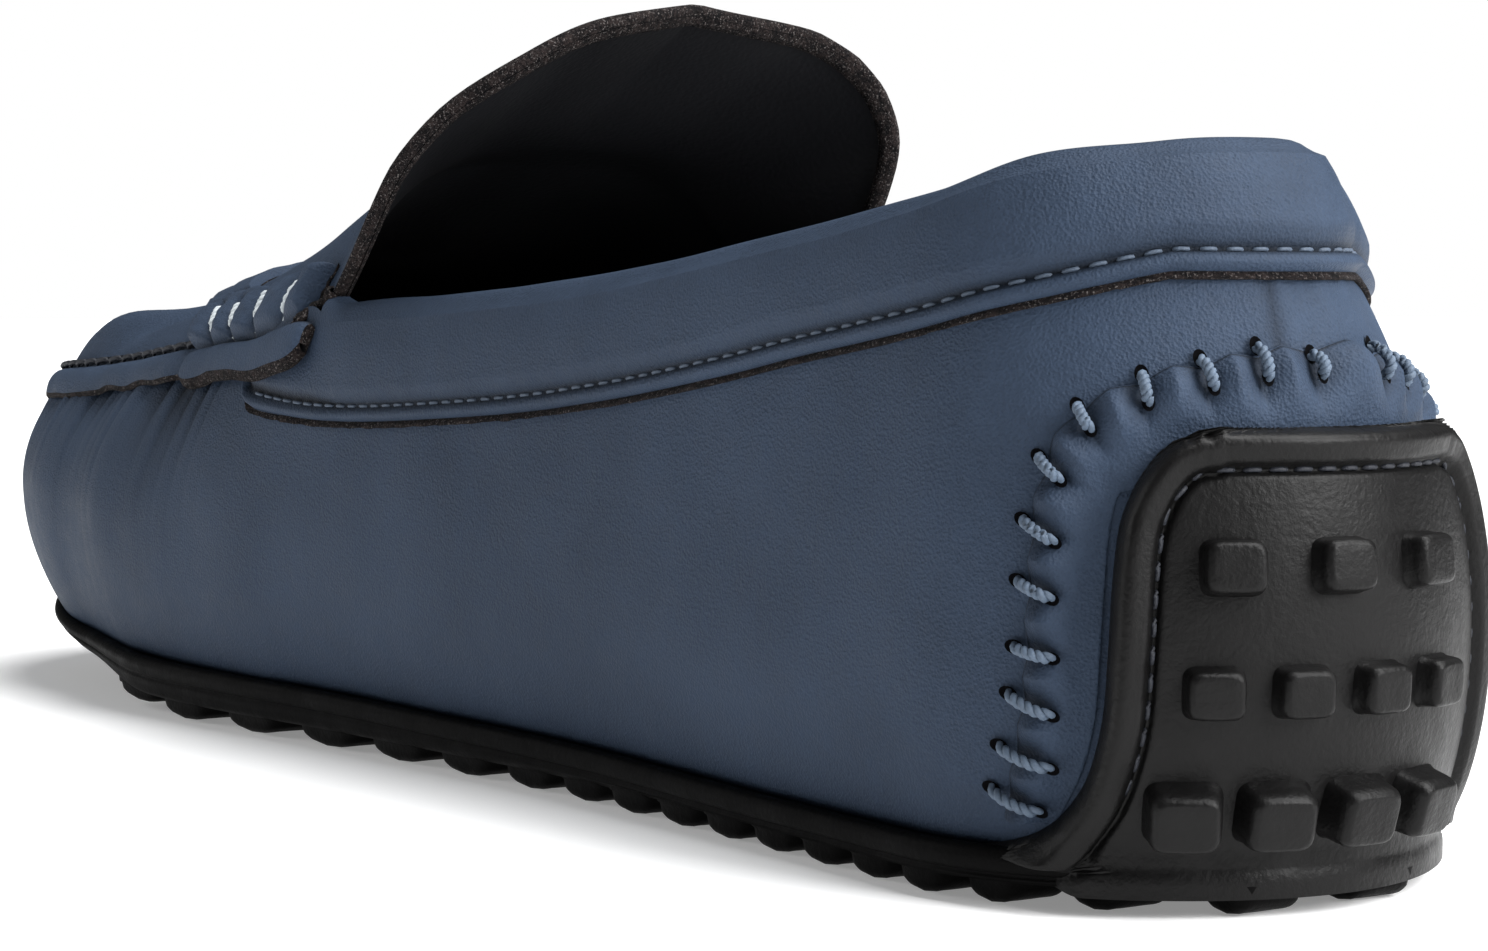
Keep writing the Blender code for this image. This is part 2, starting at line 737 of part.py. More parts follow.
# The outsole: plate with its rim, heel tab and lugs
def plate_profile(q):
    v = section(q)
    edge = float(v["foot_reach"]) + RIM_REACH
    profile = []
    rows = (
        (0.0, "top", 0.0),
        (edge - MARGIN, "top", 0.0),
        (edge - RIM_SOFT, "top", 0.0),
        (edge, "top", -RIM_FALL),
        (edge, "top", -RIM_HEIGHT),
        (edge - RIM_STEP, "top", -RIM_HEIGHT - RIM_LIFT),
        (edge - RIM_STEP - RIM_SOFT, "base", 0.0),
        (edge - MARGIN, "base", 0.0),
        (0.0, "base", 0.0),
    )
    for r, level, shift in rows:
        x = float(v["along"] + r * v["cos"])
        z = sole_top(x) - GAP if level == "top" else sole_base(x)
        profile.append(ray(v, r, z + shift))
    return profile


def tab_half_width(z):
    table = np.array(TAB_OUTLINE)
    return float(np.interp(z / COLLAR_HEIGHT, table[:, 0], table[:, 1])) * BALL_WIDTH


def tab_grids():
    outer = []
    inner = []
    step = STATION["heel side"] / 10
    rows = [row[0] * COLLAR_HEIGHT for row in TAB_OUTLINE]
    top = rows[-1]
    for z in rows:
        half = tab_half_width(z)
        edges = [half - TAB_RIM - TAB_SLOPE, half - TAB_RIM, half - TAB_EDGE, half]
        inside = [step * k for k in range(-3, 4)]
        inside = [a * min(1.0, (edges[0] - TAB_LEAST) / (3 * step)) for a in inside]
        arcs = [-a for a in reversed(edges)] + inside + edges
        line_out = []
        line_in = []
        for place, q in enumerate(arcs):
            from_side = min(place, len(arcs) - 1 - place)
            depth = TAB_FIELD if from_side > 2 else TAB
            if top - z < TAB_RIM - NUDGE:
                depth = TAB
            if from_side == 0 or z == top:
                depth = TAB - TAB_SOFT
            line_out.append(wall(q, z) + wall_out(q, z) * (GAP + depth))
            line_in.append(wall(q, z) + wall_out(q, z) * GAP)
        outer.append(line_out)
        inner.append(line_in)
    return outer, inner


ROUNDED = ((1, 0.5), (0.5, 1), (-0.5, 1), (-1, 0.5), (-1, -0.5), (-0.5, -1), (0.5, -1), (1, -0.5))
SQUARE = ((1, 1), (-1, 1), (-1, -1), (1, -1))


def lug(bm, centre, across, along, away, half_across, half_along, levels, ring):
    rings = []
    for level, scale in levels:
        points = []
        for s, t in ring:
            offset = across * s * half_across * scale + along * t * half_along * scale
            points.append(bm.verts.new(centre + offset + away * level))
        rings.append(points)
    for here, after in zip(rings, rings[1:]):
        for j in range(len(ring)):
            k = (j + 1) % len(ring)
            bm.faces.new([here[j], here[k], after[k], after[j]])
    bm.faces.new(list(reversed(rings[0])))
    bm.faces.new(rings[-1])


LUG_ALONG = (0.051, 0.081, 0.110, 0.141, 0.173, 0.206, 0.240, 0.275, 0.312, 0.350, 0.392,
             0.441, 0.495, 0.555, 0.618, 0.678, 0.731, 0.782, 0.832, 0.881, 0.924)
LUG_FILL = 0.84


def sole_edges(x):
    out = []
    for side in (1, -1):
        if STATION["heel side"] and FINE_ALONG[0] <= x <= FINE_ALONG[-1]:
            a = round_at(x)
            q = a if side > 0 else other_side(a)
        else:
            ends = np.linspace(0, STATION["heel side"], 60)
            if x > FINE_ALONG[-1]:
                ends = np.linspace(STATION["toe side"], HALF, 60)
            v = section(ends)
            reach = v["foot_reach"] + RIM_REACH
            a = float(np.interp(x, v["along"] + reach * v["cos"], ends))
            q = a if side > 0 else other_side(a)
        v = section(q)
        out.append(float(v["swing"] + (v["foot_reach"] + RIM_REACH) * v["sin"]))
    return out


def build_floor_lugs():
    bm = bmesh.new()
    levels = ((-LUG_SINK, 1.0), (LUG_HEIGHT, 0.84))
    sideways = np.array([0.0, 1.0, 0.0])
    pitches = np.gradient(np.array(LUG_ALONG)) * LENGTH
    for share, pitch in zip(LUG_ALONG, pitches):
        x = LENGTH * share
        half = float(pitch) * LUG_FILL / 2
        ends = [sole_edges(x + half * place) for place in (-0.8, 0.0, 0.8)]
        high = min(end[0] for end in ends) - LUG_EDGE
        low = max(end[1] for end in ends) + LUG_EDGE
        count = max(2, int(round((high - low) / LUG_ACROSS)) + 1)
        fall = float(sole_base(x + NUDGE) - sole_base(x - NUDGE)) / (2 * NUDGE)
        forward = unit(np.array([1.0, 0.0, fall]))
        down = -unit(np.cross(forward, sideways))
        for n in range(count):
            y = low + (high - low) * n / (count - 1)
            centre = np.array([x, y, float(sole_base(x))])
            at_edge = n in (0, count - 1)
            half_across = LUG_END if at_edge else 0.30 * (high - low) / (count - 1)
            ring = ROUNDED if at_edge else SQUARE
            lug(bm, centre, sideways, forward, down, half_across, half, levels, ring)
    return mesh_from(bm, "floor lug form")


def build_tab_lugs():
    bm = bmesh.new()
    up = np.array([0.0, 0.0, 1.0])
    for height, middle, pitch, count, size, share in TAB_LUG_ROWS:
        z = height * COLLAR_HEIGHT
        reach = share * LUG_HEIGHT
        for n in range(count):
            q = (middle + (n - (count - 1) / 2) * pitch) * BALL_WIDTH
            out = wall_out(q, z)
            centre = wall(q, z) + out * (GAP + TAB_FIELD)
            sideways = unit(np.cross(up, out))
            rise = np.cross(out, sideways)
            half = size * BALL_WIDTH / 2
            levels = ((-LUG_SINK, 1.0), (reach * 0.62, 0.97), (reach, 0.74))
            lug(bm, centre, sideways, rise, out, half, half * 0.85, levels, ROUNDED)
    return mesh_from(bm, "tab lug form")


def guide(name, mesh):
    obj = bpy.data.objects.new(name, mesh)
    bpy.context.scene.collection.objects.link(obj)
    obj.hide_render = True
    obj.display_type = "WIRE"
    return obj


outsole = finish("outsole", round_solid([plate_profile(q) for q in ROUNDS], "outsole"),
                 (0.02, 0.02, 0.022, 1), 0.6)
tab_outer, tab_inner = tab_grids()
tab_form = guide("heel tab form", slab(tab_outer, tab_inner, "heel tab form"))
tab_lug_form = guide("tab lug form", build_tab_lugs())
floor_lug_form = guide("floor lug form", build_floor_lugs())


def join_by_union(body, other):
    union = body.modifiers.new(other.name, "BOOLEAN")
    union.operation = "UNION"
    union.solver = "EXACT"
    union.object = other


join_by_union(tab_form, tab_lug_form)
join_by_union(outsole, floor_lug_form)
join_by_union(outsole, tab_form)

# The middle of the footprint becomes the origin, on the floor
low = np.full(3, 9.0)
high = np.full(3, -9.0)
for obj in bpy.context.scene.objects:
    for vert in obj.data.vertices:
        low = np.minimum(low, vert.co)
        high = np.maximum(high, vert.co)
middle = ((low[0] + high[0]) / 2, (low[1] + high[1]) / 2, low[2])
for obj in bpy.context.scene.objects:
    for vert in obj.data.vertices:
        vert.co.x -= middle[0]
        vert.co.y -= middle[1]
        vert.co.z -= middle[2]
    obj.data.update()
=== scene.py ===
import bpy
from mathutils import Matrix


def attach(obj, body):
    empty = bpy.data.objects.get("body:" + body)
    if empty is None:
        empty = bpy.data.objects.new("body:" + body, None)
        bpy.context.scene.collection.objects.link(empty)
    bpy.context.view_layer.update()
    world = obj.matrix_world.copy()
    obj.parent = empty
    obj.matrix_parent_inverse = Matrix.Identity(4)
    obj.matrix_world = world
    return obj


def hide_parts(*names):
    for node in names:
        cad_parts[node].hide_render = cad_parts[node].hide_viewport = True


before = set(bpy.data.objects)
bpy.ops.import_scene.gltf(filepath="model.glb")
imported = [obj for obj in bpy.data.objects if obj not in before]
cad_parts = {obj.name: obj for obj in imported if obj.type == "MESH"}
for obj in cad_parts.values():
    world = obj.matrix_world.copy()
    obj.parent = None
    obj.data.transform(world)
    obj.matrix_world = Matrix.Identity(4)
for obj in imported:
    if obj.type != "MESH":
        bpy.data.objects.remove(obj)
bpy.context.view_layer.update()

import math

import bpy
import numpy as np
from mathutils import Matrix, Vector

# Sizes of the shoe in metres, the same as in the CAD
LENGTH = 0.285
BALL_WIDTH = 0.0915
COLLAR_HEIGHT = 0.0755
TONGUE_HEIGHT = 0.0968
LEATHER = 0.0020
BAND = 0.0018
GAP = 0.00035
MARGIN = 0.009
INSOLE = 0.0026
RIM_REACH = 0.0028
RIM_HEIGHT = 0.0023
TAB = 0.0031
TAB_FIELD = 0.0024
TAB_RIM = 0.0036
LUG_HEIGHT = 0.0024
PLUG_FULLNESS = 3.6
BULGE_POWER = 1.9
TUCK_POWER = 2.2
MM = 0.001
MIDDLE = np.array([0.13991, -0.00131, 0.0])

LAST_COLUMNS = ("along", "turn", "swing", "inside", "outside", "tuck", "bulge",
                "lean_inside", "lean_outside", "rim")
LAST = {
    "heel back": (0.116, 180, 0.000, 0.361, 0.361, 0.044, 0.358, 0.148, 0.148, 1.000),
    "heel turn": (0.116, 145, 0.000, 0.355, 0.355, 0.044, 0.358, 0.131, 0.196, 0.993),
    "heel hip": (0.116, 115, 0.000, 0.350, 0.353, 0.038, 0.344, 0.098, 0.176, 0.974),
    "heel side": (0.116, 90, 0.000, 0.344, 0.355, 0.038, 0.344, 0.077, 0.146, 0.934),
    "quarter": (0.232, 90, 0.000, 0.344, 0.383, 0.044, 0.344, 0.060, 0.092, 0.868),
    "waist": (0.344, 90, 0.005, 0.350, 0.415, 0.055, 0.344, 0.044, 0.077, 0.815),
    "instep": (0.456, 90, 0.011, 0.377, 0.454, 0.055, 0.344, 0.038, 0.077, 0.785),
    "throat": (0.551, 90, 0.011, 0.410, 0.481, 0.055, 0.358, 0.049, 0.087, 0.762),
    "ball back": (0.632, 90, 0.011, 0.448, 0.508, 0.055, 0.371, 0.087, 0.120, 0.697),
    "ball": (0.709, 90, 0.011, 0.475, 0.525, 0.060, 0.371, 0.109, 0.142, 0.662),
    "toe side": (0.807, 90, 0.011, 0.459, 0.497, 0.066, 0.384, 0.098, 0.131, 0.629),
    "toe turn": (0.807, 60, 0.011, 0.481, 0.508, 0.071, 0.397, 0.077, 0.098, 0.616),
    "toe hip": (0.807, 30, 0.011, 0.541, 0.552, 0.077, 0.411, 0.055, 0.066, 0.603),
    "toe tip": (0.807, 0, 0.011, 0.601, 0.601, 0.082, 0.411, 0.049, 0.049, 0.596),
}
RIDGE = ((0.35, 1.430), (0.425, 1.298), (0.491, 1.166), (0.561, 1.033), (0.625, 0.934),
         (0.684, 0.861), (0.737, 0.815), (0.814, 0.775), (0.905, 0.742), (1.0, 0.689))
SOLE_TOP = ((-0.05, 0.079), (0.23, 0.079), (0.344, 0.086), (0.456, 0.093), (0.551, 0.098),
            (0.632, 0.101), (0.709, 0.106), (0.807, 0.119), (0.874, 0.139), (0.937, 0.166),
            (1.03, 0.200))
SOLE_BASE = ((-0.05, 0.0318), (0.30, 0.0318), (0.45, 0.0318), (0.64, 0.0318), (0.709, 0.035),
             (0.807, 0.061), (0.874, 0.085), (0.937, 0.116), (1.03, 0.155))
BAND_LOW = ((0.02, 0.822), (0.052, 0.793), (0.080, 0.771), (0.127, 0.739), (0.187, 0.705),
            (0.252, 0.664), (0.321, 0.628), (0.393, 0.600), (0.470, 0.583), (0.528, 0.585),
            (0.592, 0.603), (0.620, 0.612))
TONGUE = (
    # share, along, across, height on the inner side, then on the outer side
    (0.10, 0.505, 0.385, 0.694, 0.491, -0.404, 0.661),
    (0.20, 0.481, 0.378, 0.771, 0.461, -0.404, 0.733),
    (0.30, 0.454, 0.339, 0.857, 0.446, -0.402, 0.816),
    (0.45, 0.429, 0.251, 0.928, 0.441, -0.350, 0.912),
    (0.70, 0.427, 0.131, 0.975, 0.444, -0.219, 0.979),
    (1.00, 0.437, -0.022, 1.000, 0.437, -0.022, 1.000),
)
STRAP_EDGES = (
    # share across, back edge along, front edge along
    (0.00, 0.556, 0.688),
    (0.08, 0.575, 0.702),
    (0.18, 0.663, 0.723),
    (0.35, 0.695, 0.751),
    (0.65, 0.709, 0.772),
    (1.00, 0.713, 0.779),
)
TAB_LUG_ROWS = (
    # height, centre towards the inner side, pitch across, count, side, reach
    (0.450, 0.037, 0.112, 3, 0.068, 0.0024),
    (0.298, 0.036, 0.087, 4, 0.064, 0.0024),
    (0.150, 0.051, 0.094, 4, 0.080, 0.0036),
)
COUNTER_ARCH = (
    # inner arc, inner height, outer arc, outer height
    (0.332, 0.116, 0.393, 0.124),
    (0.303, 0.178, 0.382, 0.185),
    (0.286, 0.250, 0.368, 0.255),
    (0.280, 0.340, 0.361, 0.340),
    (0.276, 0.430, 0.359, 0.440),
    (0.270, 0.510, 0.352, 0.545),
    (0.254, 0.575, 0.320, 0.640),
    (0.222, 0.628, 0.240, 0.690),
    (0.149, 0.646, 0.162, 0.712),
    (0.075, 0.650, 0.080, 0.728),
    (0.000, 0.652, 0.000, 0.732),
)
LUG_ALONG = (0.051, 0.081, 0.110, 0.141, 0.173, 0.206, 0.240, 0.275, 0.312, 0.350, 0.392,
             0.441, 0.495, 0.555, 0.618, 0.678, 0.731, 0.782, 0.832, 0.881, 0.924)
LUG_FILL = 0.84
LUG_EDGE = 0.0052
LUG_ACROSS = 0.0165


# Curves
def slopes_kept(x, y):
    step = np.diff(x)
    rate = np.diff(y) / step
    out = np.zeros_like(y)
    for i in range(1, len(x) - 1):
        if rate[i - 1] * rate[i] > 0:
            one = 2 * step[i] + step[i - 1]
            two = step[i] + 2 * step[i - 1]
            out[i] = (one + two) / (one / rate[i - 1] + two / rate[i])
    return out


def slopes_free(x, y, level_ends):
    step = np.diff(x)
    rate = np.diff(y) / step
    out = np.zeros_like(y)
    out[1:-1] = (rate[1:] * step[:-1] + rate[:-1] * step[1:]) / (step[1:] + step[:-1])
    if not level_ends:
        out[0] = rate[0]
        out[-1] = rate[-1]
    return out


def curve(x, y, slope, at):
    at = np.clip(at, x[0], x[-1])
    i = np.clip(np.searchsorted(x, at, side="right") - 1, 0, len(x) - 2)
    step = x[i + 1] - x[i]
    t = (at - x[i]) / step
    near = y[i] * (1 + 2 * t) * (1 - t) ** 2 + slope[i] * step * t * (1 - t) ** 2
    far = y[i + 1] * t * t * (3 - 2 * t) + slope[i + 1] * step * t * t * (t - 1)
    return near + far


def through(x, y, at, kept=True):
    x = np.asarray(x, float)
    y = np.asarray(y, float)
    slope = slopes_kept(x, y) if kept else slopes_free(x, y, False)
    return curve(x, y, slope, np.asarray(at, float))


def height_curve(rows, kept):
    table = np.array(rows)
    return lambda at: through(table[:, 0] * LENGTH, table[:, 1] * COLLAR_HEIGHT, at, kept)


ridge = height_curve(RIDGE, False)
sole_top = height_curve(SOLE_TOP, False)
sole_base = height_curve(SOLE_BASE, True)
band_low = height_curve(BAND_LOW, False)

UNITS = {"along": LENGTH, "turn": 1.0, "bulge": COLLAR_HEIGHT, "rim": COLLAR_HEIGHT}
ROWS = np.array(list(LAST.values()), dtype=float)
VALUES = {key: ROWS[:, k] * UNITS.get(key, BALL_WIDTH) for k, key in enumerate(LAST_COLUMNS)}


def plan_points(side):
    reach = VALUES["inside"] if side > 0 else VALUES["outside"]
    turn = np.radians(VALUES["turn"])
    return np.stack([VALUES["along"] + reach * np.cos(turn),
                     VALUES["swing"] + side * reach * np.sin(turn)], axis=1)


STEPS = 0.5 * (np.linalg.norm(np.diff(plan_points(1), axis=0), axis=1)
               + np.linalg.norm(np.diff(plan_points(-1), axis=0), axis=1))
ROUND = np.concatenate([[0.0], np.cumsum(STEPS)])
HALF = float(ROUND[-1])
STATION = dict(zip(LAST, ROUND))
SLOPES = {key: slopes_free(ROUND, VALUES[key], True) for key in LAST_COLUMNS}


def section(q):
    q = np.mod(np.asarray(q, float), 2 * HALF)
    side = np.where(q <= HALF, 1.0, -1.0)
    a = np.where(q <= HALF, q, 2 * HALF - q)
    v = {}
    for key in LAST_COLUMNS:
        if key in ("along", "turn", "swing"):
            v[key] = np.interp(a, ROUND, VALUES[key])
        else:
            v[key] = curve(ROUND, VALUES[key], SLOPES[key], a)
    v["side"] = side
    v["a"] = a
    v["reach"] = np.where(side > 0, v["inside"], v["outside"])
    v["lean"] = np.where(side > 0, v["lean_inside"], v["lean_outside"])
    turn = np.radians(v["turn"])
    v["cos"] = np.cos(turn)
    v["sin"] = side * np.sin(turn)
    v["foot_reach"] = v["reach"] - v["tuck"]
    v["foot"] = sole_top(v["along"] + v["foot_reach"] * v["cos"])
    return v


def ray(v, r, z):
    x = v["along"] + r * v["cos"]
    y = v["swing"] + r * v["sin"]
    return np.stack([x + 0 * z, y + 0 * z, z + 0 * x], axis=-1)


def wall(q, z):
    v = section(q)
    low = np.clip((v["bulge"] - z) / (v["bulge"] - v["foot"]), 0, 1.3)
    high = np.clip((z - v["bulge"]) / (v["rim"] - v["bulge"]), 0, 1.3)
    r = v["reach"] - v["tuck"] * low ** TUCK_POWER - v["lean"] * high ** BULGE_POWER
    return ray(v, r, z)


def plug(q, w):
    v = section(q)
    edge = v["reach"] - v["lean"]
    drop = ridge(v["along"] + edge * v["cos"]) - v["rim"]
    r = edge * (1 - w)
    x = v["along"] + r * v["cos"]
    z = ridge(x) - drop * (1 - w) ** PLUG_FULLNESS
    return ray(v, r, z)


def unit(vector):
    length = np.linalg.norm(vector, axis=-1, keepdims=True)
    return vector / np.maximum(length, 1e-12)


NUDGE = 0.00005
UP = np.array([0.0, 0.0, 1.0])


def wall_out(q, z):
    along = wall(q + NUDGE, z) - wall(q - NUDGE, z)
    up = wall(q, z + NUDGE) - wall(q, z - NUDGE)
    return unit(np.cross(up, along))


def plug_out(q, w):
    w = np.asarray(w, float)
    along = plug(q + NUDGE, np.minimum(w, 0.97)) - plug(q - NUDGE, np.minimum(w, 0.97))
    up = plug(q, np.minimum(w + 0.002, 0.99)) - plug(q, np.clip(w - 0.002, 0.0, 0.98))
    side = unit(np.cross(up, along))
    x = section(q)["along"]
    fall = (ridge(x + NUDGE) - ridge(x - NUDGE)) / (2 * NUDGE)
    top = unit(np.stack([-fall + 0 * w, 0 * fall + 0 * w, 1.0 + 0 * fall + 0 * w], axis=-1))
    blend = np.clip((w - 0.9) / 0.1, 0, 1)[..., None]
    return unit(side * (1 - blend) + top * blend)


def other_side(a):
    return 2 * HALF - a


FINE = np.linspace(STATION["heel side"], STATION["toe side"], 600)
FINE_ALONG = section(FINE)["along"]


def round_at(x):
    return np.interp(x, FINE_ALONG, FINE)


def on_side(a, side):
    return a if side > 0 else other_side(a)


def outward(v):
    return np.stack([v["cos"], v["sin"], 0 * v["cos"]], axis=-1)


def run_along(points):
    return np.concatenate([[0.0], np.cumsum(np.linalg.norm(np.diff(points, axis=0), axis=1))])


# A quarter round: 0 at 0, steep at first, level at 1
def dome(t):
    return np.sqrt(np.clip(1 - (1 - np.clip(t, 0, 1)) ** 2, 0, 1))


def ramp(t, start, stop):
    t = np.clip((t - start) / (stop - start), 0, 1)
    return t * t * (3 - 2 * t)


def bell(t):
    return np.exp(-t * t)


# Smooth noise from a lattice of random values
def noise(u, v, seed, size=64):
    lattice = np.random.default_rng(seed).random((size, size)) * 2 - 1
    u, v = np.broadcast_arrays(np.asarray(u, float), np.asarray(v, float))
    iu = np.floor(u).astype(int)
    iv = np.floor(v).astype(int)
    fu = u - iu
    fv = v - iv
    fu = fu * fu * (3 - 2 * fu)
    fv = fv * fv * (3 - 2 * fv)
    one = lattice[iu % size, iv % size] * (1 - fu) + lattice[(iu + 1) % size, iv % size] * fu
    two = lattice[iu % size, (iv + 1) % size] * (1 - fu) + lattice[(iu + 1) % size, (iv + 1) % size] * fu
    return one * (1 - fv) + two * fv


# Uneven fibres along a cut edge
def fray(count, amount, step=0.8, row=0.5, seed=7):
    return noise(np.arange(count) * step, row, seed)[:, None] * amount


# A mesh gathered from grids and tubes. Slot picks the material; shade darkens creases
class Build:
    def __init__(self):
        self.points = []
        self.faces = []
        self.slots = []
        self.shade = []
        self.count = 0

    def add(self, points, faces, slot=0, shade=0.0):
        points = np.asarray(points, float).reshape(-1, 3)
        self.points.append(points)
        self.faces.append(faces + self.count)
        self.slots.append(np.full(len(faces), slot))
        self.shade.append(np.broadcast_to(np.asarray(shade, float).reshape(-1), (len(points),)))
        self.count += len(points)

    def grid(self, points, wrap=False, flip=False, slot=0, shade=0.0):
        n, m = points.shape[:2]
        index = np.arange(n * m).reshape(n, m)
        here = index if wrap else index[:-1]
        after = np.roll(index, -1, axis=0) if wrap else index[1:]
        quads = np.stack([here[:, :-1], after[:, :-1], after[:, 1:], here[:, 1:]], axis=-1).reshape(-1, 4)
        if flip:
            quads = quads[:, ::-1]
        self.add(points, quads, slot, shade)

    # Two grids as the faces of a sheet, closed along the named sides by rough cut edges
    def sheet(self, outer, inner, slots=(0, 1, 2), fuzz=0.0, shade=0.0, sides="nsew", round_out=0.0):
        self.grid(outer, slot=slots[0], shade=shade)
        self.grid(inner, flip=True, slot=slots[1])
        borders = {"n": (np.s_[0], np.s_[1], False), "s": (np.s_[-1], np.s_[-2], True),
                   "w": (np.s_[:, 0], np.s_[:, 1], True), "e": (np.s_[:, -1], np.s_[:, -2], False)}
        for key in sides:
            last, before, flip = borders[key]
            a, b = outer[last], inner[last]
            away = unit(a - outer[before])
            rough = fray(len(a), fuzz, 0.9)
            rows = [a, a * 0.75 + b * 0.25 + away * (round_out * 0.7 + rough),
                    (a + b) / 2 + away * (round_out + rough),
                    a * 0.25 + b * 0.75 + away * (round_out * 0.7 - rough), b]
            self.grid(np.stack(rows, axis=1), flip=flip, slot=slots[2])

    # Tubes along paths, all with the same number of points and thinner at their ends
    def tubes(self, paths, radius, sides=6):
        paths = np.asarray(paths, float)
        count, length = paths.shape[:2]
        way = unit(np.gradient(paths, axis=1))
        helper = np.where(np.abs(way[..., 2:3]) < 0.9, UP, np.array([1.0, 0.0, 0.0]))
        one = unit(np.cross(way, helper))
        two = np.cross(way, one)
        thick = np.full(length, 1.0)
        thick[0] = thick[-1] = 0.35
        turn = np.arange(sides) * 2 * math.pi / sides
        rings = (paths[:, :, None] + radius * thick[None, :, None, None]
                 * (one[:, :, None] * np.cos(turn)[None, None, :, None]
                    + two[:, :, None] * np.sin(turn)[None, None, :, None]))
        index = np.arange(count * length * sides).reshape(count, length, sides)
        here = index[:, :-1]
        after = index[:, 1:]
        quads = np.stack([here, after, np.roll(after, -1, axis=2), np.roll(here, -1, axis=2)], axis=-1)
        self.add(rings, quads.reshape(-1, 4))

    def finish(self, name, materials, replaced=()):
        points = np.concatenate(self.points) - MIDDLE
        faces = np.concatenate(self.faces)
        mesh = bpy.data.meshes.new(name)
        mesh.from_pydata(points.tolist(), [], faces.tolist())
        for material in materials:
            mesh.materials.append(material)
        mesh.polygons.foreach_set("material_index", np.concatenate(self.slots).astype(np.int32))
        mesh.polygons.foreach_set("use_smooth", np.ones(len(faces), dtype=bool))
        layer = mesh.attributes.new("shade", "FLOAT", "POINT")
        layer.data.foreach_set("value", np.concatenate(self.shade).astype(np.float32))
        mesh.update()
        obj = bpy.data.objects.new(name, mesh)
        bpy.context.scene.collection.objects.link(obj)
        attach(obj, "root")
        if replaced:
            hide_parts(*replaced)


def grid_out(points, like):
    one = np.gradient(points, axis=0)
    two = np.gradient(points, axis=1)
    out = unit(np.cross(one, two))
    turned = np.sum(out * like, axis=-1, keepdims=True) < 0
    return np.where(turned, -out, out)


# Shader maths written as plain expressions
class Nodes:
    def __init__(self, material):
        self.tree = material.node_tree
        self.tree.nodes.clear()

    def feed(self, socket, value):
        if isinstance(value, Value):
            self.tree.links.new(value.socket, socket)
        elif isinstance(value, bpy.types.NodeSocket):
            self.tree.links.new(value, socket)
        elif socket.type == "RGBA":
            socket.default_value = tuple(value)[:3] + (1.0,)
        else:
            socket.default_value = value

    def make(self, kind, settings=None, **inputs):
        node = self.tree.nodes.new(kind)
        for key, value in (settings or {}).items():
            setattr(node, key, value)
        for key, value in inputs.items():
            self.feed(node.inputs[key.replace("_", " ")], value)
        return node

    def attribute(self, name):
        return Value(self, self.make("ShaderNodeAttribute", {"attribute_name": name}).outputs["Fac"])

    def place(self):
        return self.make("ShaderNodeTexCoord").outputs["Object"]

    def noise(self, scale, detail=3.0, rough=0.5):
        node = self.make("ShaderNodeTexNoise", None, Vector=self.place(), Scale=scale,
                         Detail=detail, Roughness=rough)
        return Value(self, node.outputs["Fac"])

    def cells(self, scale):
        node = self.make("ShaderNodeTexVoronoi", None, Vector=self.place(), Scale=scale)
        return Value(self, node.outputs["Distance"])

    def between(self, value, low, high, to_low=0.0, to_high=1.0):
        node = self.make("ShaderNodeMapRange")
        for socket, given in zip(node.inputs, (value, low, high, to_low, to_high)):
            self.feed(socket, given)
        return Value(self, node.outputs[0])

    def mix(self, factor, one, two):
        node = self.make("ShaderNodeMix", {"data_type": "RGBA"})
        for place, value in ((0, factor), (6, one), (7, two)):
            self.feed(node.inputs[place], value)
        return node.outputs[2]

    def bump(self, height, distance, strength):
        node = self.make("ShaderNodeBump", None, Height=height, Distance=distance, Strength=strength)
        return node.outputs[0]

    def surface(self, colour, rough, normal, **constants):
        shader = self.make("ShaderNodeBsdfPrincipled", None, Base_Color=colour, Roughness=rough, **constants)
        if normal is not None:
            self.feed(shader.inputs["Normal"], normal)
        self.feed(self.make("ShaderNodeOutputMaterial").inputs[0], shader.outputs[0])


class Value:
    def __init__(self, nodes, socket):
        self.nodes = nodes
        self.socket = socket

    def worked(self, operation, one, two):
        node = self.nodes.make("ShaderNodeMath", {"operation": operation})
        self.nodes.feed(node.inputs[0], one)
        self.nodes.feed(node.inputs[1], two)
        return Value(self.nodes, node.outputs[0])

    def __add__(self, other):
        return self.worked("ADD", self, other)

    def __radd__(self, other):
        return self.worked("ADD", other, self)

    def __sub__(self, other):
        return self.worked("SUBTRACT", self, other)

    def __rsub__(self, other):
        return self.worked("SUBTRACT", other, self)

    def __mul__(self, other):
        return self.worked("MULTIPLY", self, other)

    def __rmul__(self, other):
        return self.worked("MULTIPLY", other, self)

    def clamp(self):
        return Value(self.nodes, self.nodes.make("ShaderNodeClamp", None, Value=self).outputs[0])


def times(colour, factor):
    return tuple(part * factor for part in colour)


def material(name):
    made = bpy.data.materials.new(name)
    made.use_nodes = True
    return made, Nodes(made)


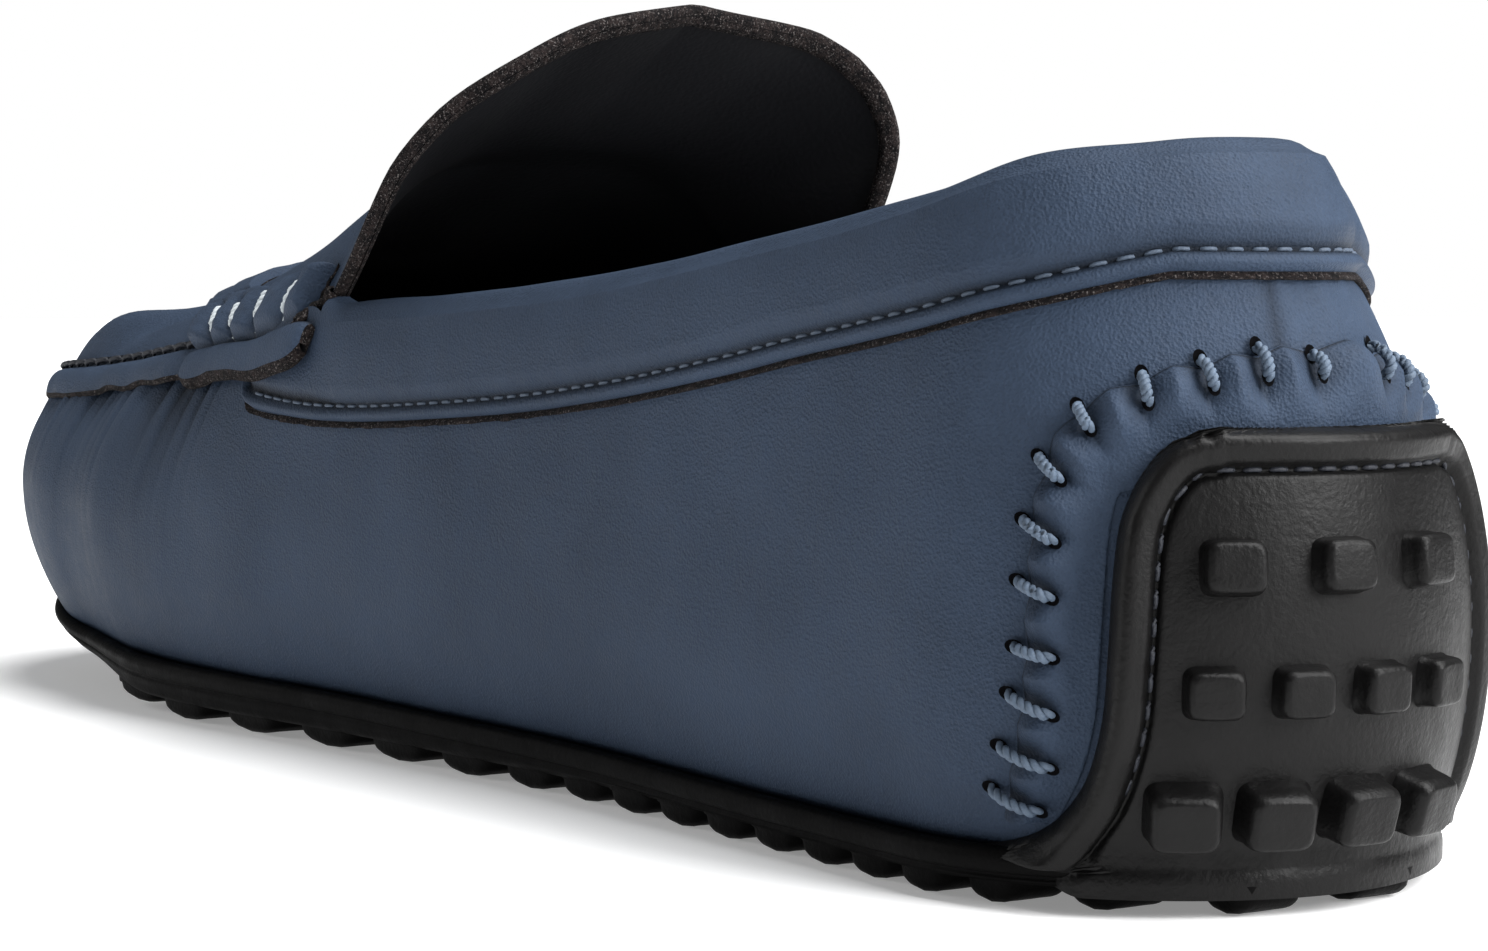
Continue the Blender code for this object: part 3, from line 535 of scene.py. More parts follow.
# Brushed leather: slate blue, fine grain, mottled at random; painted shade from the shade attribute darkens
# its folds and creases
def brushed_leather(name, tone):
    made, n = material(name)
    pores = n.cells(2900.0)
    fine = n.noise(2300.0, 4.0, 0.7)
    nap = n.noise(360.0, 3.0, 0.6)
    cloud = n.noise(24.0, 3.0, 0.5)
    patch = n.noise(80.0, 2.0, 0.5)
    shade = n.attribute("shade")
    light = tuple(part * 1.50 + 0.002 for part in tone)
    clouds = 0.5 + (cloud - 0.5) * 0.65 + (patch - 0.5) * 0.30
    level = (clouds + (nap - 0.5) * 0.30 + (fine - 0.5) * 0.45).clamp()
    colour = n.mix(level, times(tone, 0.50), light)
    colour = n.mix(n.between(pores, 0.05, 0.30, 0.35, 0.0), colour, times(tone, 0.35))
    # painted shade: the shade attribute darkens creases, grooves and the feet of seams towards a tenth of
    # the tone
    colour = n.mix(shade.clamp(), colour, times(tone, 0.10))
    normal = n.bump(pores * 0.55 + fine * 0.8 + nap * 0.22, 0.00020, 0.85)
    rough = n.between(nap, 0.2, 0.8, 0.50, 0.66)
    n.surface(colour, rough, normal, Sheen_Weight=0.01, Sheen_Roughness=0.5,
              Sheen_Tint=(0.60, 0.76, 1.0, 1.0), Specular_IOR_Level=0.11)
    return made


# Raw cut edge: brown and black fibres with pale specks
def raw_edge(name):
    made, n = material(name)
    fibres = n.noise(2600.0, 4.0, 0.75)
    clumps = n.noise(700.0, 3.0, 0.65)
    specks = n.noise(3600.0, 2.0, 0.6)
    level = n.between(fibres + (clumps - 0.5) * 0.9, 0.40, 0.68)
    colour = n.mix(level, (0.0030, 0.0026, 0.0032), (0.026, 0.019, 0.018))
    colour = n.mix(n.between(specks, 0.58, 0.70), colour, (0.15, 0.135, 0.13))
    normal = n.bump(fibres + clumps * 0.7, 0.0006, 1.0)
    n.surface(colour, 0.95, normal, Specular_IOR_Level=0.15)
    return made


def lining(name):
    made, n = material(name)
    fine = n.noise(900.0, 3.0, 0.6)
    cloud = n.noise(40.0, 2.0, 0.5)
    colour = n.mix(cloud, (0.0018, 0.0020, 0.003), (0.0045, 0.0048, 0.0068))
    normal = n.bump(fine + n.cells(1400.0) * 0.5, 0.0001, 0.6)
    n.surface(colour, n.between(cloud, 0.3, 0.7, 0.6, 0.74), normal, Specular_IOR_Level=0.22)
    return made


def rubber(name, tone, rough, shine):
    made, n = material(name)
    fine = n.noise(1500.0, 3.0, 0.6)
    cloud = n.noise(60.0, 3.0, 0.55)
    dust = n.noise(230.0, 4.0, 0.7)
    shade = n.attribute("shade")
    colour = n.mix(cloud, times((0.80, 0.76, 0.78), tone), times((1.25, 1.20, 1.22), tone))
    colour = n.mix(n.between(dust, 0.56, 0.80, 0.0, 0.35), colour, times((1.90, 1.85, 1.85), tone))
    # painted shade: the shade attribute darkens grooves towards black; on the heel tab, its stitch groove
    colour = n.mix(shade.clamp(), colour, (0.0008, 0.0008, 0.0008))
    normal = n.bump(fine + n.noise(300.0, 2.0, 0.5) * 0.8, 0.00012, 0.8)
    dusty = n.between(dust, 0.3, 0.7, rough - 0.06, rough + 0.08)
    n.surface(colour, dusty, normal, Specular_IOR_Level=shine)
    return made


def thread(name, tone):
    made, n = material(name)
    fine = n.noise(3200.0, 3.0, 0.6)
    cloud = n.noise(420.0, 2.0, 0.5)
    light = tuple(min(part * 1.45, 0.92) for part in tone)
    colour = n.mix((fine * 0.6 + cloud * 0.4).clamp(), times(tone, 0.45), light)
    n.surface(colour, 0.6, n.bump(fine, 0.00012, 0.8), Specular_IOR_Level=0.35)
    return made


# Awl holes: painted shade, the floor of each shallow hole painted near-black for the dark inside the hole
def painted_shade_hole(name):
    made, n = material(name)
    rough_floor = n.bump(n.noise(1200.0), 0.0001, 0.5)
    n.surface((0.001, 0.001, 0.0015), 0.9, rough_floor, Specular_IOR_Level=0.05)
    return made


LEATHER_MAIN = brushed_leather("brushed_leather", (0.0268, 0.0412, 0.0690))
LEATHER_TRIM = brushed_leather("brushed_leather_trim", (0.0305, 0.0465, 0.0775))
EDGE = raw_edge("raw_leather_edge")
LINING = lining("dark_lining")
RUBBER = rubber("moulded_rubber", 0.0016, 0.52, 0.04)
RUBBER_TAB = rubber("moulded_rubber_tab", 0.0032, 0.42, 0.13)
THREAD_LIGHT = thread("pale_thick_thread", (0.60, 0.70, 0.82))
THREAD_BLUE = thread("blue_waxed_thread", (0.075, 0.105, 0.150))
THREAD_BAND = thread("fine_blue_thread", (0.060, 0.082, 0.118))
THREAD_DARK = thread("dark_sewing_thread", (0.010, 0.012, 0.018))
HOLE = painted_shade_hole("awl_hole_painted_shade")


# The wrap: vamp and quarters in one skin with its lining
ROLL = BAND + GAP + 0.0008
ROLL_FULL = STATION["throat"] - 0.030 * LENGTH


def wall_top(q):
    v = section(q)
    lowered = ramp((STATION["throat"] - v["a"]) / (STATION["throat"] - ROLL_FULL), 0, 1)
    return v["rim"] - ROLL * lowered


# Gathers under the toe seam: soft upright folds, deepest at the seam, where its stitches pull
GATHERS_START = 0.190
GATHERS_FULL = 0.212
PLEAT_PITCH = 0.0046
PLEAT_DEPTH = 0.00135
CREASE_DEPTH = 0.00080
SWELL_DEPTH = 0.00120
SWELL_LENGTH = 0.018


def gathers(q, below):
    fine = noise(q / 0.0034, 0.3, 11, 256)
    wide = noise(q / 0.0085, 0.7, 12, 256)
    length = 0.0075 + 0.0040 * noise(q / 0.006, 0.2, 13, 256)
    deep = (np.abs(fine) ** 0.8 * np.sign(fine)) * CREASE_DEPTH * np.exp(-below / length)
    pleat = np.cos(2 * math.pi * (q / PLEAT_PITCH + 0.45 * noise(q / 0.011, 0.1, 14, 256)))
    strong = 0.35 + 0.65 * np.abs(noise(q / 0.0075, 0.6, 15, 256)) ** 0.5
    deep = deep - PLEAT_DEPTH * np.maximum(pleat, 0) ** 1.4 * strong * np.exp(-below / (length * 0.85))
    soft = wide * SWELL_DEPTH * np.exp(-below / SWELL_LENGTH)
    return ramp(section(q)["a"], GATHERS_START, GATHERS_FULL) * (deep + soft)


# Soft dents and swells of the side: height, place round the shoe, half width, level, half height
WRAP_DENTS = (
    (-0.0006, 0.212, 0.010, 0.040, 0.012),
    (0.0005, 0.232, 0.012, 0.030, 0.014),
    (-0.0004, 0.165, 0.020, 0.018, 0.008),
)


def wrap_relief(q, z):
    v = section(q)
    relief = gathers(q, np.maximum(v["rim"] - z, 0))
    relief = relief + 0.00042 * noise(q / 0.026, z / 0.020, 21) * ramp(z, 0.010, 0.022)
    relief = relief + 0.00016 * noise(q / 0.010, z / 0.009, 22)
    for height, place, wide, level, high in WRAP_DENTS:
        relief = relief + height * bell((v["a"] - place) / wide) * bell((z - level) / high)
    return relief


# The upright seam at the heel, above the counter
HEEL_SEAM = 0.0062
HEEL_SEAM_HALF = 0.0008
HEEL_SEAM_DEPTH = 0.0008
HEEL_ZONE = 0.03
# The mesh is finer round the toe, where the pleats are
DENSE_START = 0.185


def build_wrap():
    b = Build()
    dense_stop = 2 * HALF - DENSE_START
    q = np.concatenate([np.linspace(0, DENSE_START, 131)[:-1], np.linspace(DENSE_START, dense_stop, 420),
                        np.linspace(dense_stop, 2 * HALF, 131)[1:-1]])
    t = np.concatenate([np.linspace(0, 0.12, 7)[:-1], np.linspace(0.12, 0.8, 34)[:-1],
                        np.linspace(0.8, 1, 15)])
    v = section(q)
    z = v["foot"][:, None] + t[None, :] * (wall_top(q) - v["foot"])[:, None]
    qq = np.repeat(q[:, None], len(t), axis=1)
    base = wall(qq, z)
    out = wall_out(qq, z)
    below = np.maximum(v["rim"][:, None] - z, 0)
    heel = np.where((qq < HEEL_ZONE) | (qq > 2 * HALF - HEEL_ZONE), ramp(z, 0.048, 0.052), 0)
    seam = bell((qq - HEEL_SEAM) / HEEL_SEAM_HALF) * heel
    relief = wrap_relief(qq, z) - HEEL_SEAM_DEPTH * seam + 0.0004 * bell((qq - HEEL_SEAM) / 0.0026) * heel
    # painted shade: darker in the heel seam's groove, in the valleys of the toe gathers and in a band just
    # under the toe seam
    under_seam = bell(below / 0.0030) * ramp(v["a"][:, None], 0.170, 0.180)
    folded = ramp(-gathers(qq, below), 0.0002, 0.0011)
    shade = np.clip(seam * 0.8 + folded * 0.85 + 0.55 * under_seam, 0, 1)
    outer = base + out * relief[..., None]
    turned_in = v["foot_reach"] - MARGIN
    margin = ray(v, turned_in, sole_top(v["along"] + turned_in * v["cos"]))
    foot = ray(v, v["foot_reach"] - 0.0006, v["foot"])
    # painted shade: the turned-in margin and the foot row, where the wrap goes in under the sole's rim, are
    # fully dark
    b.grid(np.concatenate([margin[:, None], foot[:, None], outer], axis=1), wrap=True,
           shade=np.concatenate([np.ones((len(q), 2)), shade], axis=1))
    inner = base - out * LEATHER
    pad = margin + UP * LEATHER
    b.grid(np.concatenate([pad[:, None], inner], axis=1), wrap=True, flip=True, slot=1)
    b.grid(np.stack([outer[:, -1], inner[:, -1]], axis=1), wrap=True, slot=1)
    b.grid(np.stack([pad, margin], axis=1), wrap=True, slot=1)
    b.finish("wrap", [LEATHER_MAIN, LINING], ("upper",))


build_wrap()


# The plug and the tongue it carries on into, as one skin with a raw edge
ACROSS = 45


def tongue_edge(share, side):
    table = np.array(TONGUE)
    first = 1 if side > 0 else 4
    units = (LENGTH, BALL_WIDTH, TONGUE_HEIGHT)
    corner = plug(on_side(STATION["throat"], side), 0.0)
    x = np.concatenate([[0.0], table[:, 0]])
    rows = []
    for place in range(3):
        y = np.concatenate([[corner[place]], table[:, first + place] * units[place]])
        rows.append(through(x, y, share))
    return np.stack(rows, axis=-1)


def plug_relief(q, w, p):
    a = section(q)["a"]
    x, y = p[..., 0], p[..., 1]
    # tucks pulled in by the seam stitches
    tucks = noise(q / 0.0030, 0.6, 31, 256) * 0.00045 * np.exp(-w * 0.033 / 0.0022)
    relief = tucks * ramp(a, 0.200, 0.222)
    relief = relief + 0.0004 * noise(x / 0.022, y / 0.016, 32) + 0.00012 * noise(x / 0.007, y / 0.007, 33)
    # the long soft trough on the inner side, the roll beside it, and a shorter trough opposite
    line = 0.0312 - (0.2375 - x) * 0.30 - 0.004 * bell((x - 0.222) / 0.008)
    relief = relief - 0.0013 * bell((y - line) / 0.0030) * bell((x - 0.228) / 0.013)
    relief = relief + 0.0007 * bell((y - line + 0.0058) / 0.0034) * bell((x - 0.236) / 0.014)
    relief = relief - 0.0008 * bell((y + 0.027 + (x - 0.23) * 0.35) / 0.0032) * bell((x - 0.226) / 0.014)
    # the plug stands full behind the seam at the toe
    relief = relief + 0.0026 * bell((w - 0.20) / 0.15) * ramp(a, 0.232, 0.262)
    # a shallow valley across the vamp ahead of the strap
    valley = bell((x - 0.233 + 0.0016 * np.cos(y / 0.009)) / 0.0055)
    return relief - 0.0007 * valley * ramp(w, 0.25, 0.6)


TONGUE_ROWS = 46
TONGUE_SAG = 0.0012
FRAY = 0.00018


def build_plug():
    b = Build()
    w = np.linspace(0, 1, ACROSS) ** 1.55
    steps = np.linspace(1, 0, TONGUE_ROWS)[:-1]
    a = np.concatenate([np.linspace(STATION["throat"], STATION["toe side"], 62)[:-1],
                        np.linspace(STATION["toe side"], HALF, 66)])
    fade = ramp(a, STATION["throat"], STATION["throat"] + 0.01)[:, None, None]
    lines = []
    for side in (1, -1):
        start = plug(on_side(STATION["throat"], side), w)
        stop = tongue_edge(w, side)
        tongue = start[None] + (stop - start)[None] * steps[:, None, None]
        sag = 4 * steps * (1 - steps)
        tongue[..., 2] -= sag[:, None] * TONGUE_SAG * ramp(w, 0.1, 0.5)[None]
        qq = np.repeat(on_side(a, side)[:, None], ACROSS, axis=1)
        ww = np.repeat(w[None], len(a), axis=0)
        base = plug(qq, ww)
        vamp = base + plug_out(qq, ww) * plug_relief(qq, ww, base)[..., None]
        whole = np.concatenate([tongue, base * (1 - fade) + vamp * fade])
        lines.append(whole if side > 0 else whole[:, ::-1][:, 1:])
    points = np.concatenate(lines, axis=1)
    rows, columns = points.shape[:2]
    row = np.arange(rows)
    inside = np.array([0.20, 0.0, -0.02])
    out = grid_out(points, unit(points - inside))
    edge_w = np.concatenate([w, w[::-1][1:]])
    # painted shade: the plug is darker along its foot at the toe seam
    shade = 0.45 * bell(edge_w[None] / 0.02) * (row[:, None] > TONGUE_ROWS)
    ripple = 0.0005 * noise(points[..., 0] / 0.015, points[..., 1] / 0.013, 41)
    points = points + out * (ripple * ramp(TONGUE_ROWS - row, 0, 8)[:, None])[..., None]
    thick = np.tile(np.minimum(0.0015, 0.0010 + 0.05 * edge_w), (rows, 1))
    thick[:TONGUE_ROWS] = np.minimum(0.0017, 0.0006 + 0.07 * edge_w[None])
    inner = points - out * thick[..., None]
    b.grid(points, shade=shade)
    b.grid(inner, flip=True, slot=1)
    face, back = points[0], inner[0]
    away = unit(points[0] - points[1])
    rough = fray(columns, FRAY)
    ring = [face, face * 0.8 + back * 0.2 + away * (0.0005 + rough),
            (face + back) / 2 + away * (0.0007 - rough),
            face * 0.2 + back * 0.8 + away * (0.0005 + rough), back]
    b.grid(np.stack(ring, axis=1), slot=2)
    # the raw margin that shows on the lining side of the tongue
    margin = [back - out[0] * 0.0001, back - away * 0.0008 - out[0] * 0.0005,
              back - away * 0.0017 - out[0] * 0.0005, back - away * 0.0024 + out[0] * 0.0001]
    b.grid(np.stack(margin, axis=1), slot=2)
    b.finish("plug_and_tongue", [LEATHER_MAIN, LINING, EDGE], ("upper",))


# The tongue's raw edge runs on down at its corner and over the topline
CORNER_SHARES = (0.04, 0.02)
CORNER_DROPS = ((0.0002, 0.0009, 0.0006), (0.0022, 0.0024, 0.0012), (0.0040, 0.0030, 0.0016))
CORNER_STEPS = 40


def build_tongue_corner():
    b = Build()
    for side in (1, -1):
        spots = [tongue_edge(np.array([share]), side)[0] for share in CORNER_SHARES]
        for drop, depth, onward in CORNER_DROPS:
            q = np.array([on_side(STATION["throat"] + onward, side)])
            z = section(q)["rim"] - drop
            spots.append((wall(q, z) + wall_out(q, z) * depth)[0])
        spots = np.array(spots)
        run = run_along(spots)
        at = np.linspace(0, run[-1], CORNER_STEPS)
        path = np.stack([through(run, spots[:, k], at, False) for k in range(3)], axis=-1)
        b.tubes((path + fray(CORNER_STEPS, FRAY, 0.8, side * 2.5, 91))[None], 0.00100, 10)
    b.finish("tongue_raw_corner", [EDGE])


build_plug()
build_tongue_corner()


# The collar band, padded above its stitched margin and rolled over the topline
BAND_FRONT = 0.607 * LENGTH
BAND_CORNER = 0.024 * LENGTH
BAND_HEAD = 0.0040
BAND_MARGIN = 0.0019
BAND_ROLL = STATION["throat"] - 0.0035


def band_lower(q):
    v = section(q)
    x = v["along"] + v["reach"] * v["cos"]
    low = band_low(np.maximum(x, 0.02 * LENGTH))
    high = v["rim"] - BAND_HEAD
    over = (x - (BAND_FRONT - BAND_CORNER)) / BAND_CORNER
    low = low - 0.0013 * ramp(x, BAND_FRONT - 0.050, BAND_FRONT - 0.006)
    rise = 0.98 * (high - low) * (1 - np.clip(1 - np.clip(over, 0, 1) ** 7, 0, 1) ** 0.5)
    return low + rise


# Height of the band's face; drop is the distance in from its cut edge
def band_relief(q, drop):
    front = ramp(np.abs(q), 0.160, 0.1735)
    flat = 0.00125 * ramp(drop, 0, 0.0004) + 0.00035
    groove = 0.00085 * bell((drop - BAND_MARGIN - 0.0003 * front) / (0.00042 + 0.00045 * front))
    body = 0.00105 * ramp(drop, BAND_MARGIN + 0.0001, BAND_MARGIN + 0.0022)
    pad = 0.0006 * bell((drop - 0.0085) / 0.0042)
    body = body * (1 - 0.75 * front)
    pad = pad * (1 - front)
    wave = 0.00018 * noise(q / 0.008, drop / 0.006, 51)
    pull = 0.00012 * noise(q / 0.0022, 0.4, 52, 256) * bell((drop - BAND_MARGIN - 0.0012) / 0.0012)
    return flat - groove + body + pad + wave + pull


def band_way():
    front = float(round_at(BAND_FRONT))
    a = np.concatenate([np.linspace(0, front - 0.008, 190)[:-1],
                        front - 0.008 * (1 - np.linspace(0, 1, 26) ** 0.6)])
    return np.concatenate([-a[::-1][:-1], a]), front


# The roll over the topline and the leg inside it, from the last row of the band's face
BAND_BULGE = 0.00225
BAND_INSIDE = LEATHER + 0.0021


def band_roll(b, q, top, start):
    keep = np.abs(q) < BAND_ROLL
    q, top, start = q[keep], top[keep], start[keep]
    out = wall_out(q, top)
    edge = wall(q, top)
    along = unit(wall(q + NUDGE, top) - wall(q - NUDGE, top))
    up = unit(np.cross(along, out))
    up = np.where(up[:, 2:3] < 0, -up, up)
    centre = edge - out * LEATHER / 2
    ends = ramp(BAND_ROLL - np.abs(q), -0.0001, 0.004)[:, None]
    flat = LEATHER / 2 + np.linalg.norm(start - edge, axis=1)[:, None]
    full = LEATHER / 2 + BAND_BULGE * (1 + 0.05 * noise(q / 0.012, 0.2, 55)[:, None])
    rows = []
    for turn in np.linspace(0, math.pi, 15):
        grown = min(turn / 0.3, 1.0)
        reach = (flat * (1 - ends) + full * ends) * grown + flat * (1 - grown)
        rise = 1.0 + 0.05 * math.sin(turn) * ends
        rows.append(centre + out * reach * math.cos(turn) + up * reach * math.sin(turn) * rise)
    for down, depth in ((0.002, BAND_INSIDE), (0.005, BAND_INSIDE), (0.008, BAND_INSIDE),
                        (0.011, BAND_INSIDE), (0.0112, LEATHER + GAP)):
        rows.append(wall(q, top - down) - wall_out(q, top - down) * depth)
    b.grid(np.stack(rows, axis=1))


def build_band():
    b = Build()
    q, front = band_way()
    v = section(q)
    low = band_lower(q)
    high = v["rim"] - BAND_HEAD
    top = wall_top(q)
    outer, shade = [], []
    edge_in = np.maximum(front - np.abs(q), 0)
    full = ramp(edge_in, 0.0, 0.004)
    stop = high + (top - high) * full
    tip = ramp(np.abs(q), 0.163, 0.172)
    for t in np.linspace(0, 1, 30):
        z = low + (stop - low) * t
        drop = np.minimum(z - low, edge_in * 1.5)
        tucked = ramp(t, 0.80, 1.0) * (1 - full)
        depth = band_relief(q, drop) * (1 - tucked) + 0.0006 * tucked
        outer.append(wall(q, z) + wall_out(q, z) * depth[:, None])
        # painted shade: darker in the stitch groove, widest at the band's front end, and faintly just above
        # the groove
        shade.append(0.9 * bell((drop - BAND_MARGIN - 0.0003 * tip) / (0.0005 + 0.0004 * tip))
                     + 0.15 * bell((drop - BAND_MARGIN - 0.001) / 0.0008))
    outer = np.stack(outer, axis=1)
    shade = np.stack(shade, axis=1)
    back = np.stack([wall(q, low + (stop - low) * t) + wall_out(q, low + (stop - low) * t) * GAP * 0.3
                     for t in (0.0, 0.5, 1.0)], axis=1)
    b.grid(outer, shade=shade)
    b.grid(back, flip=True, slot=1)
    # cut lower edge
    face, behind = outer[:, 0], back[:, 0]
    rough = fray(len(q), 0.0002)
    lip = wall_out(q, low) * 0.0010
    ring = [face, face + lip * 0.4 - UP * (0.0005 + rough),
            (face + behind) / 2 + lip * 0.7 - UP * (0.0009 - rough), behind - UP * 0.0007, behind]
    b.grid(np.stack(ring, axis=1), flip=True, slot=2)
    for end in (0, -1):
        strip = np.stack([outer[end], (outer[end] + back[end][np.repeat([0, 1, 2], 10)]) / 2], axis=1)
        b.grid(strip, flip=end == 0, slot=2)
    band_roll(b, q, top, outer[:, -1])
    b.finish("collar_band_skin", [LEATHER_MAIN, LINING, EDGE], ("collar_band",))


build_band()


# Machine seams: the stitches' pitch, length, rise and sink, and half the thread's width
BAND_SEAM = (0.0027, 0.0020, 0.00030, 0.0004)
BAND_THREAD = 0.00024
LIP_SEAM = (0.0042, 0.0026, 0.0002, 0.0006)
LIP_THREAD = 0.00042
TAB_SEAM = (0.0026, 0.0020, 0.0003, 0.0004)
TAB_THREAD = 0.00028
# Hand stitches: half the width of the twisted thread
STRAP_THREAD = 0.00062
HEEL_THREAD = 0.00056


# Small stitches along a line of points, each a short tube that dips at its ends
def stitch_paths(points, outs, pitch, length, lift, sink, seed, lean=0.0, jitter=0.0):
    run = run_along(points)
    count = int(run[-1] / pitch)
    rng = np.random.default_rng(seed)
    centres = (np.arange(count) + 0.5) * run[-1] / count + rng.normal(0, jitter, count)

    def at(distance, values):
        return np.stack([np.interp(distance, run, values[:, k]) for k in range(3)], axis=-1)

    out = unit(at(centres, outs))
    way = unit(at(centres + 0.0003, points) - at(centres - 0.0003, points))
    across = np.cross(out, way)
    rows = []
    for t in np.linspace(-1, 1, 7):
        high = lift * math.cos(t * math.pi / 2) ** 0.5 - sink * (abs(t) ** 6) if abs(t) < 1 else -sink
        here = at(centres + t * length / 2, points)
        rows.append(here + out * high + across * (lean * t))
    return np.stack(rows, axis=1)


def band_stitches():
    b = Build()
    q, front = band_way()
    low = band_lower(q)
    z = low + BAND_MARGIN
    keep = np.abs(q) < front - 0.0035
    q, z, low = q[keep], z[keep], low[keep]
    out = wall_out(q, z)
    points = wall(q, z) + out * band_relief(q, np.full(len(q), BAND_MARGIN))[:, None]
    b.tubes(stitch_paths(points, out, *BAND_SEAM, seed=3), BAND_THREAD)
    b.finish("collar_band_stitches", [THREAD_BAND])


band_stitches()


# The lip of the seam round the toe, gathered into small waves
LIP_REACH = 0.0036
LIP_START = float(round_at((STRAP_EDGES[0][2] - 0.016) * LENGTH))


# Share of the lip's reach, height, painted shade (darkest at the lip's root by the seam, a little at its
# turned-down cut edge)
LIP_TOP = (
    (-0.10, 0.0027, 0.9), (0.02, 0.0017, 1.0), (0.12, 0.0014, 0.7), (0.26, 0.0014, 0.2),
    (0.42, 0.0012, 0.0), (0.58, 0.0008, 0.0), (0.74, 0.0002, 0.0), (0.88, -0.0006, 0.0),
    (0.97, -0.0016, 0.05), (1.0, -0.0023, 0.2),
)
LIP_CUT = ((1.0, -0.0023), (0.99, -0.0027), (0.90, -0.0031), (0.74, -0.0028))


def build_lip():
    b = Build()
    a = np.linspace(LIP_START, HALF, 300)
    q = np.concatenate([a, other_side(a[::-1][1:])])
    v = section(q)
    base = plug(q, np.zeros(len(q)))
    away = outward(v)
    # the lip starts narrow, under the strap's own
    start = 0.35 + 0.65 * ramp(v["a"], LIP_START + 0.002, LIP_START + 0.010)
    wave = noise(q / 0.0043, 0.3, 61, 256)
    droop = noise(q / 0.0060, 0.8, 62, 256)
    reach = (LIP_REACH + 0.0005 * wave) * start

    def row(share, height):
        ripple = (0.00045 * droop + 0.0002 * wave) * ramp(share, 0.1, 0.9)
        return base + away * (reach * share)[:, None] + UP * (height + ripple)[:, None]

    top = np.stack([row(share, height) for share, height, dark in LIP_TOP], axis=1)
    cut = np.stack([row(share, height) for share, height in LIP_CUT], axis=1)
    # painted shade from the last column of the table
    shade = np.tile([dark for share, height, dark in LIP_TOP], (len(q), 1))
    under = cut[:, -1]
    root = base + away * 0.0003 - UP * 0.0005
    b.grid(top, shade=shade)
    b.grid(cut, slot=2)
    b.grid(np.stack([under, under * 0.4 + root * 0.6 - UP * 0.0002, root], axis=1), slot=1)
    b.finish("apron_lip_skin", [LEATHER_TRIM, LINING, EDGE], ("apron_lip",))
    # the stitches that gather the plug, sunk in its foot
    threads = Build()
    points = base + away * 0.0003 + UP * 0.0021
    paths = stitch_paths(points, unit(away * 0.6 + UP), *LIP_SEAM, seed=5, lean=0.0004, jitter=0.0002)
    threads.tubes(paths, LIP_THREAD)
    threads.finish("apron_stitches", [THREAD_DARK])


build_lip()


# The strap: ribbed rolls at its ends under four thick stitches, then a flat band over the vamp
def strap_along(share, step):
    table = np.array(STRAP_EDGES)
    back = through(table[:, 0], table[:, 1], share)
    front = through(table[:, 0], table[:, 2], share)
    return LENGTH * (back + (front - back) * step)


def strap_base(step, share, side):
    q = on_side(round_at(strap_along(share, step)), side)
    return plug(q, share), plug_out(q, share)


# The strap's end: upright lines across it, numbered 0 at the back and 1 at the front
END_LINES = (0.0, 0.14, 0.38, 0.62, 0.86, 1.0)
END_FOOT = (0.1765, 0.1826, 0.1925, 0.2013, 0.2078, 0.2135)
END_SLANT = (-0.012, -0.008, 0.0286, 0.0356, 0.0424, 0.050)
END_BACK = ((0.173, 0.085), (0.1772, 0.096), (0.1819, 0.105), (0.1897, 0.111), (0.1966, 0.139),
            (0.2033, 0.168), (0.208, 0.185), (0.216, 0.215), (0.225, 0.235))
THREAD_TOP = (0.070, 0.074, 0.112, 0.114, 0.134, 0.130)
THREAD_LINES = END_LINES[1:5]


def end_place(line, w, side):
    foot = through(END_LINES, END_FOOT, line)
    slant = through(END_LINES, END_SLANT, line)
    return on_side(foot + slant * w, side)


def end_top(line):
    table = np.array(END_BACK)
    w = np.full_like(line, 0.1)
    for _ in range(20):
        a = end_place(line, w, 1)
        w = 0.5 * w + 0.5 * np.interp(a, table[:, 0], table[:, 1])
    return w


def puffs(line):
    marks = np.array((-0.03,) + THREAD_LINES + (1.03,))
    index = np.clip(np.searchsorted(marks, line) - 1, 0, len(marks) - 2)
    t = (line - marks[index]) / (marks[index + 1] - marks[index])
    return np.clip(4 * t * (1 - t), 0, 1) ** 0.75


def end_height(line, w, top):
    swell = puffs(line)
    reach = through(END_LINES, THREAD_TOP, line)
    held = 1 - ramp(w, reach, reach + 0.045)
    soft = dome(np.minimum(line, 1 - line) / 0.035)
    roll = ramp(w, 0.0, 0.030) * (1 - 0.55 * ramp(w, 0.06, 0.19))
    height = 0.0011 + 0.0023 * roll * (1 - held * (1 - swell))
    height = height - 0.0009 * np.exp(-(w / 0.010) ** 2)
    cut = np.clip((top - w) / 0.022, 0, 1)
    joined = ramp(line, 0.80, 0.95)
    cut = cut + (1 - cut) * joined * 0.55
    height = height * soft * dome(cut)
    # painted shade: darker in the creases at the stitches, between the puffs, and along the end's foot
    crease = 0.55 * held * (1 - swell) ** 2 + 0.8 * np.exp(-(w / 0.009) ** 2)
    return np.maximum(height, 0.0003), np.clip(crease, 0, 1)


# The rear of the end hangs lower, over the collar band
def end_sag(q, line, w):
    share = ((1 - ramp(line, 0.12, 0.70)) * np.exp(-w / 0.055))[:, None]
    return (outward(section(q)) * 0.0018 - UP * 0.0021) * share


# The end's own lip: reach, height, painted shade (darkest where the lip turns up into the end)
END_LIP = (
    (0.0043, -0.0032, 0.05), (0.0041, -0.0025, 0.0), (0.0038, -0.0016, 0.0), (0.0034, -0.0007, 0.0),
    (0.0029, 0.0002, 0.0), (0.0023, 0.0008, 0.15), (0.0017, 0.0010, 0.7), (0.0013, 0.0010, 1.0),
)


